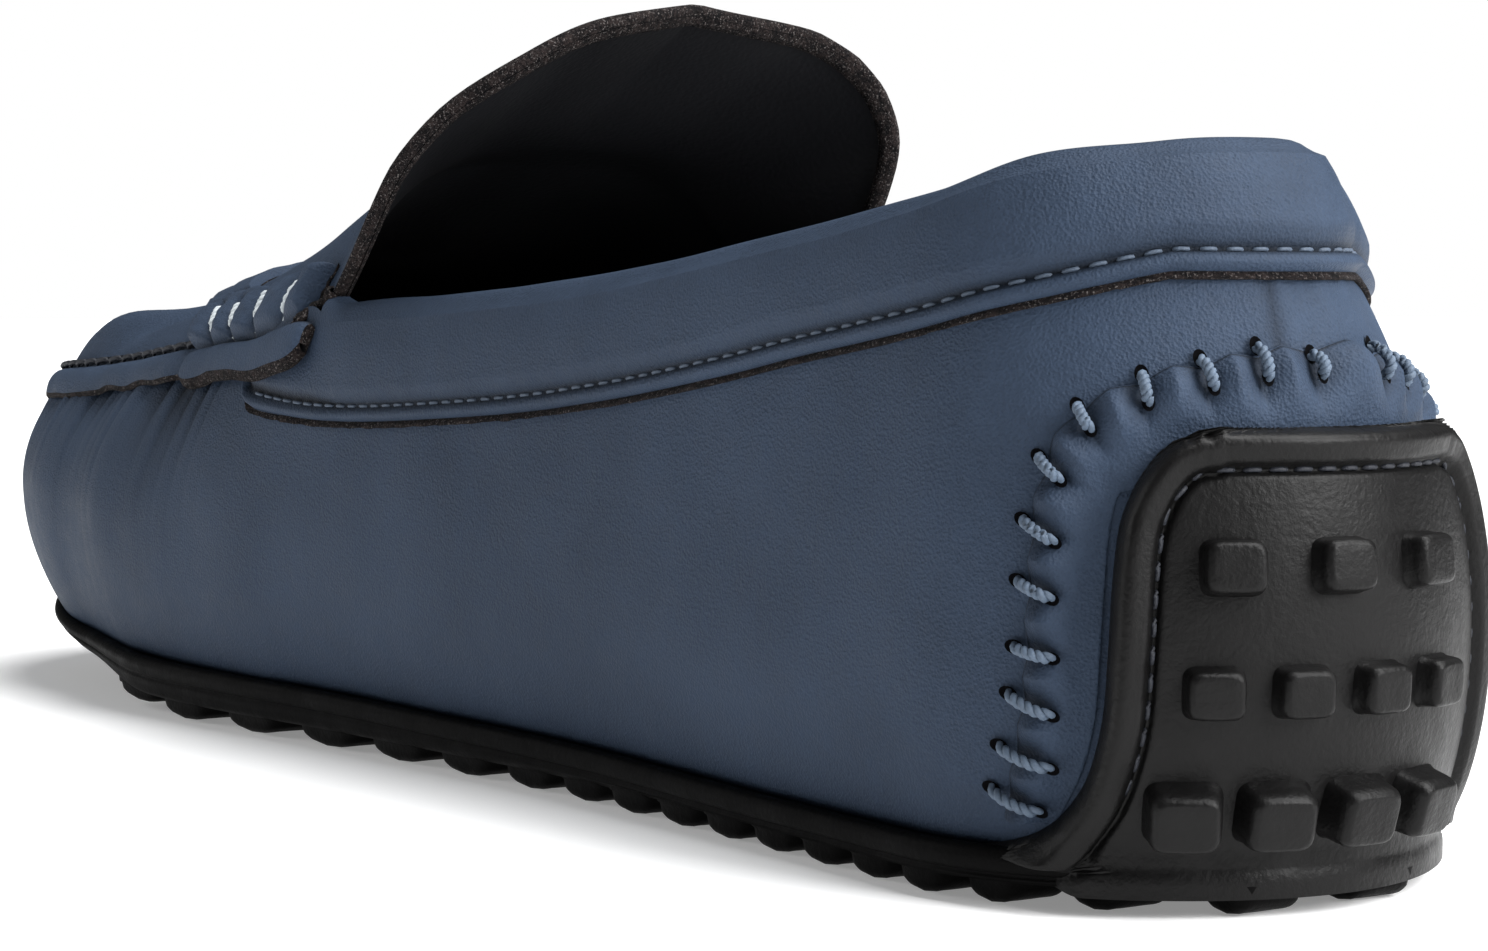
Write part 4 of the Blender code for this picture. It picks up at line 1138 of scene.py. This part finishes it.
def strap_end(b, side):
    line = np.linspace(0, 1, 141)
    soft = dome(np.minimum(line / 0.05, (1 - line) / 0.12))
    back = 1 - np.clip(line / 0.16, 0, 1)
    q = on_side(through(END_LINES, END_FOOT, line) - 0.0045 * back * back, side)
    seat = plug(q, 0 * q) + end_sag(q, line, 0 * line)
    away = outward(section(q))
    wave = noise(line * 6.5 + side, 0.4, 71)
    hang = 0.0005 * noise(line * 3.4 + side * 3, 0.9, 72) * soft
    rear = 1 - ramp(line, 0.10, 0.40)
    over = 0.0004 * (1 - ramp(line, 0.40, 0.85))
    outer, inner, shade = [], [], []
    for reach, lift, dark in END_LIP:
        low = np.clip(-lift / 0.0030, 0, 1)
        drop = lift * (0.30 + 0.60 * soft + 0.18 * rear) + hang * low - 0.0004 * rear * low
        drop = drop - 0.0005 * (1 - ramp(line, 0.1, 0.5))
        out = reach * (0.62 + 0.38 * soft) + 0.0003 * wave * low * soft + over
        outer.append(seat + away * out[:, None] + UP * drop[:, None])
        inner.append(seat + away * (out - 0.0010)[:, None] + UP * (drop - 0.0015)[:, None])
        shade.append(np.full(len(line), dark))
    top = end_top(line)
    for t in np.linspace(0.03, 1, 44):
        w = top * t
        q = end_place(line, w, side)
        base = plug(q, w) + end_sag(q, line, w)
        out = plug_out(q, w)
        height, dark = end_height(line, w, top)
        height = height + 0.00012 * noise(line * 22, t * 12, 73)
        outer.append(base + out * height[:, None])
        inner.append(base + out * 0.00012)
        shade.append(dark)
    outer, inner, shade = np.stack(outer, 1), np.stack(inner, 1), np.stack(shade, 1)
    if side < 0:
        outer, inner, shade = outer[::-1], inner[::-1], shade[::-1]
    b.sheet(outer, inner, fuzz=FRAY, shade=shade, sides="nsw", round_out=0.0003)
    b.sheet(outer[:, -2:], inner[:, -2:], fuzz=FRAY, shade=shade[:, -2:], sides="e", round_out=0.0003)


def build_strap():
    b = Build()
    for side in (1, -1):
        strap_end(b, side)
    steps = np.linspace(0, 1, 81)
    soft = dome(np.minimum(steps, 1 - steps) / 0.05)
    shares = np.concatenate([np.linspace(0.165, 0.26, 16)[:-1], np.linspace(0.26, 1.0, 24)])
    outer = []
    inner = []
    for side in (1, -1):
        one, two = [], []
        for share in shares:
            base, out = strap_base(steps, np.full(len(steps), share), side)
            height = 0.0003 + 0.0014 * soft * ramp(share, 0.160, 0.215)
            height = height + 0.00018 * noise(steps * 5, share * 12, 74) + 0.0003 * bell((steps - 0.5) / 0.3)
            one.append(base + out * height[:, None])
            two.append(base + out * 0.0001)
        outer += one if side > 0 else one[::-1][1:]
        inner += two if side > 0 else two[::-1][1:]
    b.sheet(np.stack(outer, 1), np.stack(inner, 1), fuzz=0.00015, round_out=0.0003)
    b.finish("saddle_strap_skin", [LEATHER_TRIM, LINING, EDGE], ("saddle_strap",))


build_strap()


# Thick thread of two strands twisted together, over a path of points
def twisted(b, path, out, radius, turns):
    count = len(path)
    way = unit(np.gradient(path, axis=0))
    one = unit(np.cross(way, np.broadcast_to(out, way.shape)))
    two = np.cross(way, one)
    turn = np.linspace(0, turns * 2 * math.pi, count)
    for phase in (0, math.pi):
        offset = (one * np.cos(turn + phase)[:, None] + two * np.sin(turn + phase)[:, None]) * radius * 0.5
        b.tubes((path + offset)[None], radius * 0.62, 8)


def arc_path(start, stop, out, lift, sink):
    t = np.linspace(0, 1, 28)[:, None]
    high = lift * np.sin(np.pi * t) ** 0.55 - sink * (np.abs(2 * t - 1) ** 10)
    return start + (stop - start) * t + out * high


def strap_stitches():
    b = Build()
    tops = dict(zip(END_LINES, THREAD_TOP))
    for side in (1, -1):
        for mark in THREAD_LINES:
            w = np.linspace(0.001, tops[mark], 30)
            line = np.full(30, mark)
            q = end_place(line, w, side)
            base = plug(q, w) + end_sag(q, line, w)
            out = plug_out(q, w)
            height = end_height(line, w, end_top(line))[0]
            step = np.linspace(-1, 1, 30)
            rise = 0.00135 * ramp(step, -0.55, -0.05) - 0.0003
            path = base + out * (height + rise - 0.0013 * np.abs(step) ** 8)[:, None]
            path[0] += -UP * 0.0005 + out[0] * 0.0006
            twisted(b, path, out.mean(axis=0), STRAP_THREAD, 1.2 + float(tops[mark]) * 24)
    b.finish("strap_stitches", [THREAD_LIGHT])


strap_stitches()


# The heel counter, puffed between the hand stitches on its outer edge
HEEL_STITCHES = (
    # inner side and back, in mm: outer end arc and height, inner end arc and height
    (2.3, 54.6, 2.1, 51.4), (9.1, 55.6, 8.6, 51.0), (15.7, 54.3, 14.3, 50.2), (21.9, 52.8, 21.0, 48.8),
    (28.6, 49.6, 26.4, 46.4), (32.5, 44.7, 28.9, 41.6), (33.6, 38.4, 29.4, 36.0), (33.9, 32.5, 29.5, 30.7),
    (34.2, 26.1, 29.3, 25.1), (34.9, 21.6, 29.3, 19.6), (36.2, 16.4, 29.4, 14.5), (37.5, 12.1, 30.8, 10.2),
)


def counter_curves():
    half = np.array(COUNTER_ARCH)
    other = half[:-1][::-1].copy()
    other[:, 0] *= -1
    other[:, 2] *= -1
    table = np.concatenate([half, other]) * np.array([BALL_WIDTH, COLLAR_HEIGHT, BALL_WIDTH, COLLAR_HEIGHT])
    run = run_along((table[:, :2] + table[:, 2:]) / 2)
    t = np.linspace(0, run[-1], 420)
    columns = [through(run, table[:, k], t, False) for k in range(4)]
    columns[1] = columns[1] - 0.0042 * ramp(columns[1], 0.040, 0.047)
    return t, np.stack(columns, axis=-1)


def heel_marks():
    marks = []
    for k, row in enumerate(HEEL_STITCHES):
        row = np.array(row) * MM
        middle = np.tile((row[:2] + row[2:]) / 2, 2)
        # the stitches over the top of the arch are the shorter ones
        share = 0.72 if k < 6 else 0.86
        marks.append(middle + (row - middle) * share)
    mirrored = [row * np.array([-1, 1, -1, 1]) for row in marks[1:]]
    return marks + mirrored


COUNTER_ACROSS = np.concatenate([np.linspace(0, 0.75, 12)[:-1], np.linspace(0.75, 1.0, 9)])
PUFF_HALF = 0.0036
# Share of the way across where the counter turns down to its outer edge
COUNTER_TURN = 0.72


def build_counter():
    b = Build()
    t, c = counter_curves()
    near = np.ones(len(t))
    for mark in heel_marks():
        gap = np.linalg.norm(c[:, 2:] - (mark[:2] + mark[2:]) / 2, axis=1)
        near = np.minimum(near, np.clip((gap - gap.min()) / PUFF_HALF, 0, 1))
    puff = near ** 0.6
    outer, inner, shade = [], [], []
    for across in COUNTER_ACROSS:
        reach = across * (0.91 + 0.115 * puff)
        q = c[:, 0] + (c[:, 2] - c[:, 0]) * reach
        z = c[:, 1] + (c[:, 3] - c[:, 1]) * reach
        crown = math.sqrt(max(1 - ((across - 0.55) / 0.62) ** 2, 0.0))
        edge = 1.0
        if across > COUNTER_TURN:
            edge = math.sqrt(max(1 - ((across - COUNTER_TURN) / 0.285) ** 2, 0.0))
        height = 0.0002 + 0.0011 * ramp(across, 0.0, 0.6) * crown
        height = height + (0.0017 * puff * edge - 0.0008 * (1 - puff)) * ramp(across, 0.25, 0.75)
        height = height * (0.25 + 0.75 * edge) + 0.0002 * noise(t / 0.006, across * 3, 81)
        base = wall(q, z)
        out = wall_out(q, z)
        outer.append(base + out * np.maximum(height, 0.0002)[:, None])
        inner.append(base + out * 0.0001)
        # painted shade: darker in the pinches at the stitches and along the very outer edge
        dark = 0.75 * (1 - puff) ** 2 * ramp(across, 0.45, 0.8) + 0.9 * (across > 0.985)
        shade.append(np.clip(dark, 0, 1))
    b.sheet(np.stack(outer, 1), np.stack(inner, 1), (0, 1, 0), shade=np.stack(shade, 1), round_out=0.0002)
    b.finish("heel_counter_skin", [LEATHER_MAIN, LINING], ("heel_counter",))


# The blue hand stitches, with a punched hole at each end
def build_heel_stitches():
    threads = Build()
    holes = Build()
    turn = np.linspace(0, 2 * math.pi, 15)[:-1, None]
    for mark in heel_marks():
        ends = [wall(*mark[:2]), wall(*mark[2:])]
        out = unit(wall_out(*mark[:2]) + wall_out(*mark[2:]))
        path = arc_path(ends[0] + out * 0.0003, ends[1] + out * 0.0014, out, 0.0011, 0.0008)
        twisted(threads, path, out, HEEL_THREAD, 2.8)
        way = unit(ends[1] - ends[0])
        across = np.cross(out, way)
        for point, grow in ((ends[0] + out * 0.00035, 1.0), (ends[1] + out * 0.0014, 0.9)):
            ring = (point + way * (np.cos(turn) * 0.0010 * grow)
                    + across * (np.sin(turn) * 0.0007 * grow))
            bottom = np.broadcast_to(point - out * 0.0002, ring.shape)
            holes.grid(np.stack([ring, bottom], axis=1), wrap=True)
    threads.finish("heel_stitches", [THREAD_BLUE])
    holes.finish("heel_stitch_holes", [HOLE])


build_counter()
build_heel_stitches()


# The outsole: plate with rolled rim, lugs, heel tab; towards the toe the plate is thinner
THIN_FROM = 0.70
THIN_TO = 0.90
THINNER = 0.62
# The rolled rim's section: an oval, by its centre and half sizes
RIM_ROLL_IN = 0.0009
RIM_ROLL_DOWN = 0.0007
RIM_ROLL_WIDE = 0.0011
RIM_ROLL_HIGH = 0.00135
# Sections across the plate's edge: distance in from the edge, level, height
PLATE_UPPER = ((0.0024, "top", 0.0002), (0.0016, "top", 0.0006), (0.0008, "top", 0.00065))
PLATE_LOWER = (
    (0.0010, "top", -RIM_HEIGHT + 0.0004), (0.0008, "top", -RIM_HEIGHT - 0.0001),
    (0.0006, "top", -RIM_HEIGHT - 0.0005), (0.0012, "base", 0.0006), (0.0017, "base", 0.0001),
    (0.0024, "base", 0.0), (MARGIN, "base", 0.0),
)


def sole_profile(q):
    v = section(q)
    edge = v["foot_reach"] + RIM_REACH
    rows = [(0 * edge, "top", 0.0), (edge - MARGIN, "top", 0.0)]
    rows += [(edge - inward, level, shift) for inward, level, shift in PLATE_UPPER]
    for turn in np.linspace(65, -65, 9):
        angle = math.radians(turn)
        rows.append((edge - RIM_ROLL_IN + RIM_ROLL_WIDE * math.cos(angle), "top",
                     -RIM_ROLL_DOWN + RIM_ROLL_HIGH * math.sin(angle)))
    rows += [(edge - inward, level, shift) for inward, level, shift in PLATE_LOWER]
    rows.append((0 * edge, "base", 0.0))
    out = []
    for r, level, shift in rows:
        x = v["along"] + r * v["cos"]
        thin = ramp(x / LENGTH, THIN_FROM, THIN_TO)
        high, low = sole_top(x) - GAP, sole_base(x)
        low = low + (high - low) * THINNER * thin
        high = high + 0.0010 * thin * (r > edge - 0.0025)
        z = high + shift * (1 - 0.5 * thin * (shift < 0)) if level == "top" else low + shift
        out.append(ray(v, r - 0.0008 * thin * (r > 0.001), z))
    return np.stack(out, axis=1)


def build_plate():
    b = Build()
    b.grid(sole_profile(np.linspace(0, 2 * HALF, 481)[:-1]), wrap=True, flip=True)
    b.finish("outsole_plate", [RUBBER], ("outsole",))


build_plate()


# The tab's outline as the rim shows it, flaring at its foot into the edge of the plate
TAB_SHAPE = ((0.072, 0.520), (0.078, 0.440), (0.088, 0.390), (0.105, 0.350), (0.140, 0.314), (0.190, 0.289),
             (0.278, 0.273), (0.355, 0.269), (0.430, 0.266), (0.500, 0.260), (0.545, 0.247), (0.575, 0.232),
             (0.600, 0.212), (0.614, 0.185), (0.622, 0.149))


# A lug with rounded corners and edges, its foot sunk in the plate; barrel lowers its ends
LUG_SINK = 0.0008
LUG_ROUND = 0.45
LUG_SQUARE = 0.42


def lug_points(centre, across, along, away, half_across, half_along, height, barrel):
    turn = np.linspace(0, 2 * math.pi, 25)[:-1]
    c = np.sign(np.cos(turn)) * np.abs(np.cos(turn)) ** LUG_SQUARE
    s = np.sign(np.sin(turn)) * np.abs(np.sin(turn)) ** LUG_SQUARE
    levels = [(-LUG_SINK, 1.08), (0.0, 1.06), (height * 0.12, 1.0), (height * 0.55, 0.97)]
    for angle in np.linspace(0.25, 1.0, 5):
        levels.append((height * (0.55 + 0.45 * math.sin(angle * math.pi / 2)),
                       0.97 - LUG_ROUND * 0.55 * (1 - math.cos(angle * math.pi / 2))))
    levels += [(height, 0.35), (height, 0.0)]
    rows = []
    for level, scale in levels:
        fall = np.clip(level, 0, None) / height * barrel * (s * scale) ** 2
        rows.append(centre + across * (c * half_across * scale)[:, None]
                    + along * (s * half_along * scale)[:, None] + away * (level - fall)[:, None])
    return np.stack(rows, axis=1)


# How far the plate reaches to each side at one place along the shoe
def sole_edges(x):
    out = []
    for side in (1, -1):
        if FINE_ALONG[0] <= x <= FINE_ALONG[-1]:
            a = float(round_at(x))
        else:
            ends = np.linspace(0, STATION["heel side"], 60)
            if x > FINE_ALONG[-1]:
                ends = np.linspace(STATION["toe side"], HALF, 60)
            v = section(ends)
            way = v["along"] + (v["foot_reach"] + RIM_REACH) * v["cos"]
            order = np.argsort(way)
            a = float(np.interp(x, way[order], ends[order]))
        v = section(on_side(a, side))
        out.append(float(v["swing"] + (v["foot_reach"] + RIM_REACH) * v["sin"]))
    return out


# Rows of lugs across the floor and one more at the very heel; lower and further in at the toe
HEEL_ROW = (0.021, 0.026 * LENGTH)
OUTER_LUG_HALF = 0.0040


def build_lugs():
    b = Build()
    sideways = np.array([0.0, 1.0, 0.0])
    pitches = np.gradient(np.array(LUG_ALONG)) * LENGTH
    for share, pitch in [HEEL_ROW] + list(zip(LUG_ALONG, pitches)):
        x = LENGTH * share
        half = float(pitch) * (LUG_FILL + 0.13) / 2
        ends = [sole_edges(x + half * place) for place in (-0.8, 0.0, 0.8)]
        inset = LUG_EDGE + 0.0004 + 0.005 * float(ramp(share, 0.76, 0.80)) - 0.003 * (share < 0.03)
        high = min(end[0] for end in ends) - inset
        low = max(end[1] for end in ends) + inset
        count = max(2, int(round((high - low) / LUG_ACROSS)) + 1)
        fall = float(sole_base(x + 0.001) - sole_base(x - 0.001)) / 0.002
        forward = unit(np.array([1.0, 0.0, fall]))
        down = -unit(np.cross(forward, sideways))
        base = float(sole_base(x))
        base += THINNER * float(ramp(share, THIN_FROM, THIN_TO)) * float(sole_top(x) - GAP - sole_base(x))
        deep = LUG_HEIGHT * (1 - 0.85 * float(ramp(share, THIN_FROM, 0.80)))
        for k in range(count):
            centre = np.array([x, low + (high - low) * k / (count - 1), base])
            half_across = OUTER_LUG_HALF if k in (0, count - 1) else 0.32 * (high - low) / (count - 1)
            points = lug_points(centre, sideways, forward, down, half_across, half, deep, deep * 0.5)
            b.grid(points, wrap=True)
    b.finish("outsole_lugs", [RUBBER], ("outsole",))


build_lugs()


TAB_TABLE = np.array(TAB_SHAPE)
TAB_LOW = TAB_TABLE[0, 0] * COLLAR_HEIGHT
TAB_HIGH = TAB_TABLE[-1, 0] * COLLAR_HEIGHT
TAB_RISE = np.concatenate([np.linspace(TAB_LOW, 0.012, 40)[:-1], np.linspace(0.012, TAB_HIGH, 90)])
# The groove that the stitches lie in, just inside the rim
TAB_GROOVE = TAB_RIM + 0.0004


def tab_half(z):
    high = np.maximum(z, TAB_LOW)
    return through(TAB_TABLE[:, 0] * COLLAR_HEIGHT, TAB_TABLE[:, 1] * BALL_WIDTH, high, True)


def build_tab():
    b = Build()
    line = np.stack([tab_half(TAB_RISE), TAB_RISE], axis=-1)
    across_top = np.stack([np.linspace(line[-1, 0], 0, 30), np.full(30, TAB_HIGH)], axis=-1)
    line = np.concatenate([line, across_top])
    outer, inner, shade = [], [], []
    s = np.linspace(-1, 1, 161)
    s = np.sign(s) * (1 - (1 - np.abs(s)) ** 1.25)
    for z in np.concatenate([np.linspace(0.0034, 0.0055, 8)[:-1], np.linspace(0.0055, 0.012, 26)[:-1],
                             np.linspace(0.012, 0.040, 50)[:-1], np.linspace(0.040, TAB_HIGH, 26)]):
        qs = s * tab_half(z)
        spot = np.stack([np.abs(qs), np.full(len(qs), z)], axis=-1)
        from_edge = np.sqrt(((spot[:, None] - line[None]) ** 2).sum(-1)).min(1)
        from_edge = np.where(np.abs(s) > 0.9999, 0.0, from_edge)
        rim = 1 - ramp(from_edge, TAB_RIM - 0.0002, TAB_RIM + 0.0005)
        groove = bell((from_edge - TAB_RIM - 0.0004) / 0.0004)
        foot_fill = 1 - ramp(z, 0.0048, 0.0085)
        depth = TAB_FIELD + (TAB + 0.0002 - TAB_FIELD) * rim + 0.0011 * foot_fill
        depth = depth - 0.0008 * groove + 0.0008 * rim * bell((from_edge - 0.0018) / 0.0012)
        # the foot's far corners sink into the plate
        corner = ramp(np.abs(qs), 0.027, 0.033) * (1 - ramp(z, 0.0052, 0.0066))
        depth = depth * dome(from_edge / 0.0016) * (1 - corner)
        held = np.full(len(qs), max(z, 0.0062))
        base = wall(qs, held)
        base[..., 2] = z
        out = wall_out(qs, held)
        outer.append(base + out * (GAP + np.maximum(depth, 0.0001))[:, None])
        inner.append(base + out * GAP * 0.5)
        # painted shade: darker in the stitch groove
        shade.append(0.9 * groove)
    b.sheet(np.stack(outer), np.stack(inner), (0, 0, 0), shade=np.stack(shade))
    for height, middle, pitch, count, size, reach in TAB_LUG_ROWS:
        z = height * COLLAR_HEIGHT
        half = size * BALL_WIDTH / 2
        for k in range(count):
            at = (middle + (k - (count - 1) / 2) * pitch) * BALL_WIDTH
            out = wall_out(at, z)
            centre = wall(at, z) + out * (GAP + TAB_FIELD - 0.0001)
            sideways = unit(np.cross(UP, out))
            rise = np.cross(out, sideways)
            b.grid(lug_points(centre, sideways, rise, out, half, half * 0.85, reach, 0.0), wrap=True)
    b.finish("heel_tab", [RUBBER_TAB], ("outsole",))


# The row of stitches sunk in the tab's groove
def build_tab_stitches():
    b = Build()
    rise = TAB_RISE[(TAB_RISE > 0.012) & (TAB_RISE < TAB_HIGH - TAB_GROOVE - 0.003)]
    half_line = [(float(tab_half(z)) - TAB_GROOVE, float(z)) for z in rise]
    reach = half_line[-1][0] - 0.003
    half_line += [(float(a), TAB_HIGH - TAB_GROOVE) for a in np.linspace(reach, 0, 30)]
    half_line = np.array(half_line)
    q, z = np.concatenate([half_line, half_line[::-1][1:] * np.array([-1, 1])]).T
    out = wall_out(q, z)
    points = wall(q, z) + out * (GAP + TAB_FIELD - 0.0006)
    b.tubes(stitch_paths(points, out, *TAB_SEAM, seed=9), TAB_THREAD)
    b.finish("heel_tab_stitches", [THREAD_DARK])


build_tab()
build_tab_stitches()


# The insole: share of its reach, share of its thickness
INSOLE_EDGE = (
    (0, 1), (0.3, 1), (0.6, 1), (0.9, 1), (0.965, 0.97), (0.99, 0.85), (1, 0.6), (1, 0), (0.5, 0), (0, 0),
)


def build_insole():
    b = Build()
    q = np.linspace(0, 2 * HALF, 241)[:-1]
    v = section(q)
    edge = v["foot_reach"] - 0.9 * LEATHER
    rows = []
    for share, lift in INSOLE_EDGE:
        r = edge * share
        z = sole_top(v["along"] + r * v["cos"]) + LEATHER + GAP + INSOLE * lift
        rows.append(ray(v, r, z))
    b.grid(np.stack(rows, axis=1), wrap=True, flip=True)
    b.finish("insole_pad", [LINING], ("insole",))


build_insole()


# Floor, lights and camera
FLOOR = 6.0


def floor():
    mesh = bpy.data.meshes.new("studio_floor")
    corners = [(-FLOOR, -FLOOR, 0), (FLOOR, -FLOOR, 0), (FLOOR, FLOOR, 0), (-FLOOR, FLOOR, 0)]
    mesh.from_pydata(corners, [], [(0, 1, 2, 3)])
    obj = bpy.data.objects.new("studio_floor", mesh)
    bpy.context.scene.collection.objects.link(obj)
    made, n = material("pale_floor")
    n.surface((0.88, 0.88, 0.88), 0.9, None, Specular_IOR_Level=0.0,
              Emission_Color=(1.0, 1.0, 1.0, 1.0), Emission_Strength=0.24)
    mesh.materials.append(made)


floor()


def light(name, place, aim, size, power, colour=(1, 1, 1)):
    data = bpy.data.lights.new(name, "AREA")
    data.energy = power
    data.size = size
    data.color = colour
    obj = bpy.data.objects.new(name, data)
    obj.location = place
    obj.rotation_euler = (Vector(aim) - Vector(place)).to_track_quat("-Z", "Y").to_euler()
    bpy.context.scene.collection.objects.link(obj)


def sun(name, aim_from, strength, spread):
    data = bpy.data.lights.new(name, "SUN")
    data.energy = strength
    data.angle = math.radians(spread)
    obj = bpy.data.objects.new(name, data)
    obj.rotation_euler = Vector(aim_from).to_track_quat("Z", "Y").to_euler()
    bpy.context.scene.collection.objects.link(obj)


sun("overhead", (-0.22, -0.30, 1.0), 4.9, 44)
light("heel_side", (-0.62, -0.22, 0.34), (-0.12, 0, 0.05), 0.35, 7.4)
light("toe_side", (0.55, 0.60, 0.40), (0.1, 0, 0.03), 0.4, 1.6)
world = bpy.data.worlds.new("studio")
world.use_nodes = True
tree = world.node_tree
seen = tree.nodes.new("ShaderNodeLightPath")
backdrop = tree.nodes.new("ShaderNodeBackground")
backdrop.inputs[0].default_value = (1.0, 1.0, 1.0, 1.0)
backdrop.inputs[1].default_value = 1.0
room = tree.nodes["Background"]
room.inputs[0].default_value = (0.95, 0.98, 1.0, 1.0)
room.inputs[1].default_value = 0.09
blend = tree.nodes.new("ShaderNodeMixShader")
tree.links.new(seen.outputs["Is Camera Ray"], blend.inputs[0])
tree.links.new(room.outputs[0], blend.inputs[1])
tree.links.new(backdrop.outputs[0], blend.inputs[2])
tree.links.new(blend.outputs[0], tree.nodes["World Output"].inputs[0])
bpy.context.scene.world = world
bpy.context.scene.view_settings.view_transform = "Standard"

# The camera stands behind the shoe's inner side, a little above the floor
CAMERA_PLACE = np.array([-0.232, 0.221, 0.060]) - MIDDLE
YAW = math.radians(-33.0)
PITCH = math.radians(-3.2)
ROLL_TURN = math.radians(0.2)
FOCAL_PIXELS = 3270.0
PICTURE_WIDTH = 1488.0
FILM_WIDTH = 36.0
forward = Vector((math.cos(YAW) * math.cos(PITCH), math.sin(YAW) * math.cos(PITCH), math.sin(PITCH)))
right = forward.cross(Vector((0, 0, 1))).normalized()
above = right.cross(forward)
right_turned = right * math.cos(ROLL_TURN) + above * math.sin(ROLL_TURN)
above_turned = above * math.cos(ROLL_TURN) - right * math.sin(ROLL_TURN)
camera_data = bpy.data.cameras.new("camera")
camera_data.lens = FOCAL_PIXELS / PICTURE_WIDTH * FILM_WIDTH
camera_data.sensor_width = FILM_WIDTH
camera_data.clip_start = 0.01
camera = bpy.data.objects.new("camera", camera_data)
camera.matrix_world = Matrix((
    (right_turned.x, above_turned.x, -forward.x, CAMERA_PLACE[0]),
    (right_turned.y, above_turned.y, -forward.y, CAMERA_PLACE[1]),
    (right_turned.z, above_turned.z, -forward.z, CAMERA_PLACE[2]),
    (0, 0, 0, 1),
))
bpy.context.scene.collection.objects.link(camera)
bpy.context.scene.camera = camera
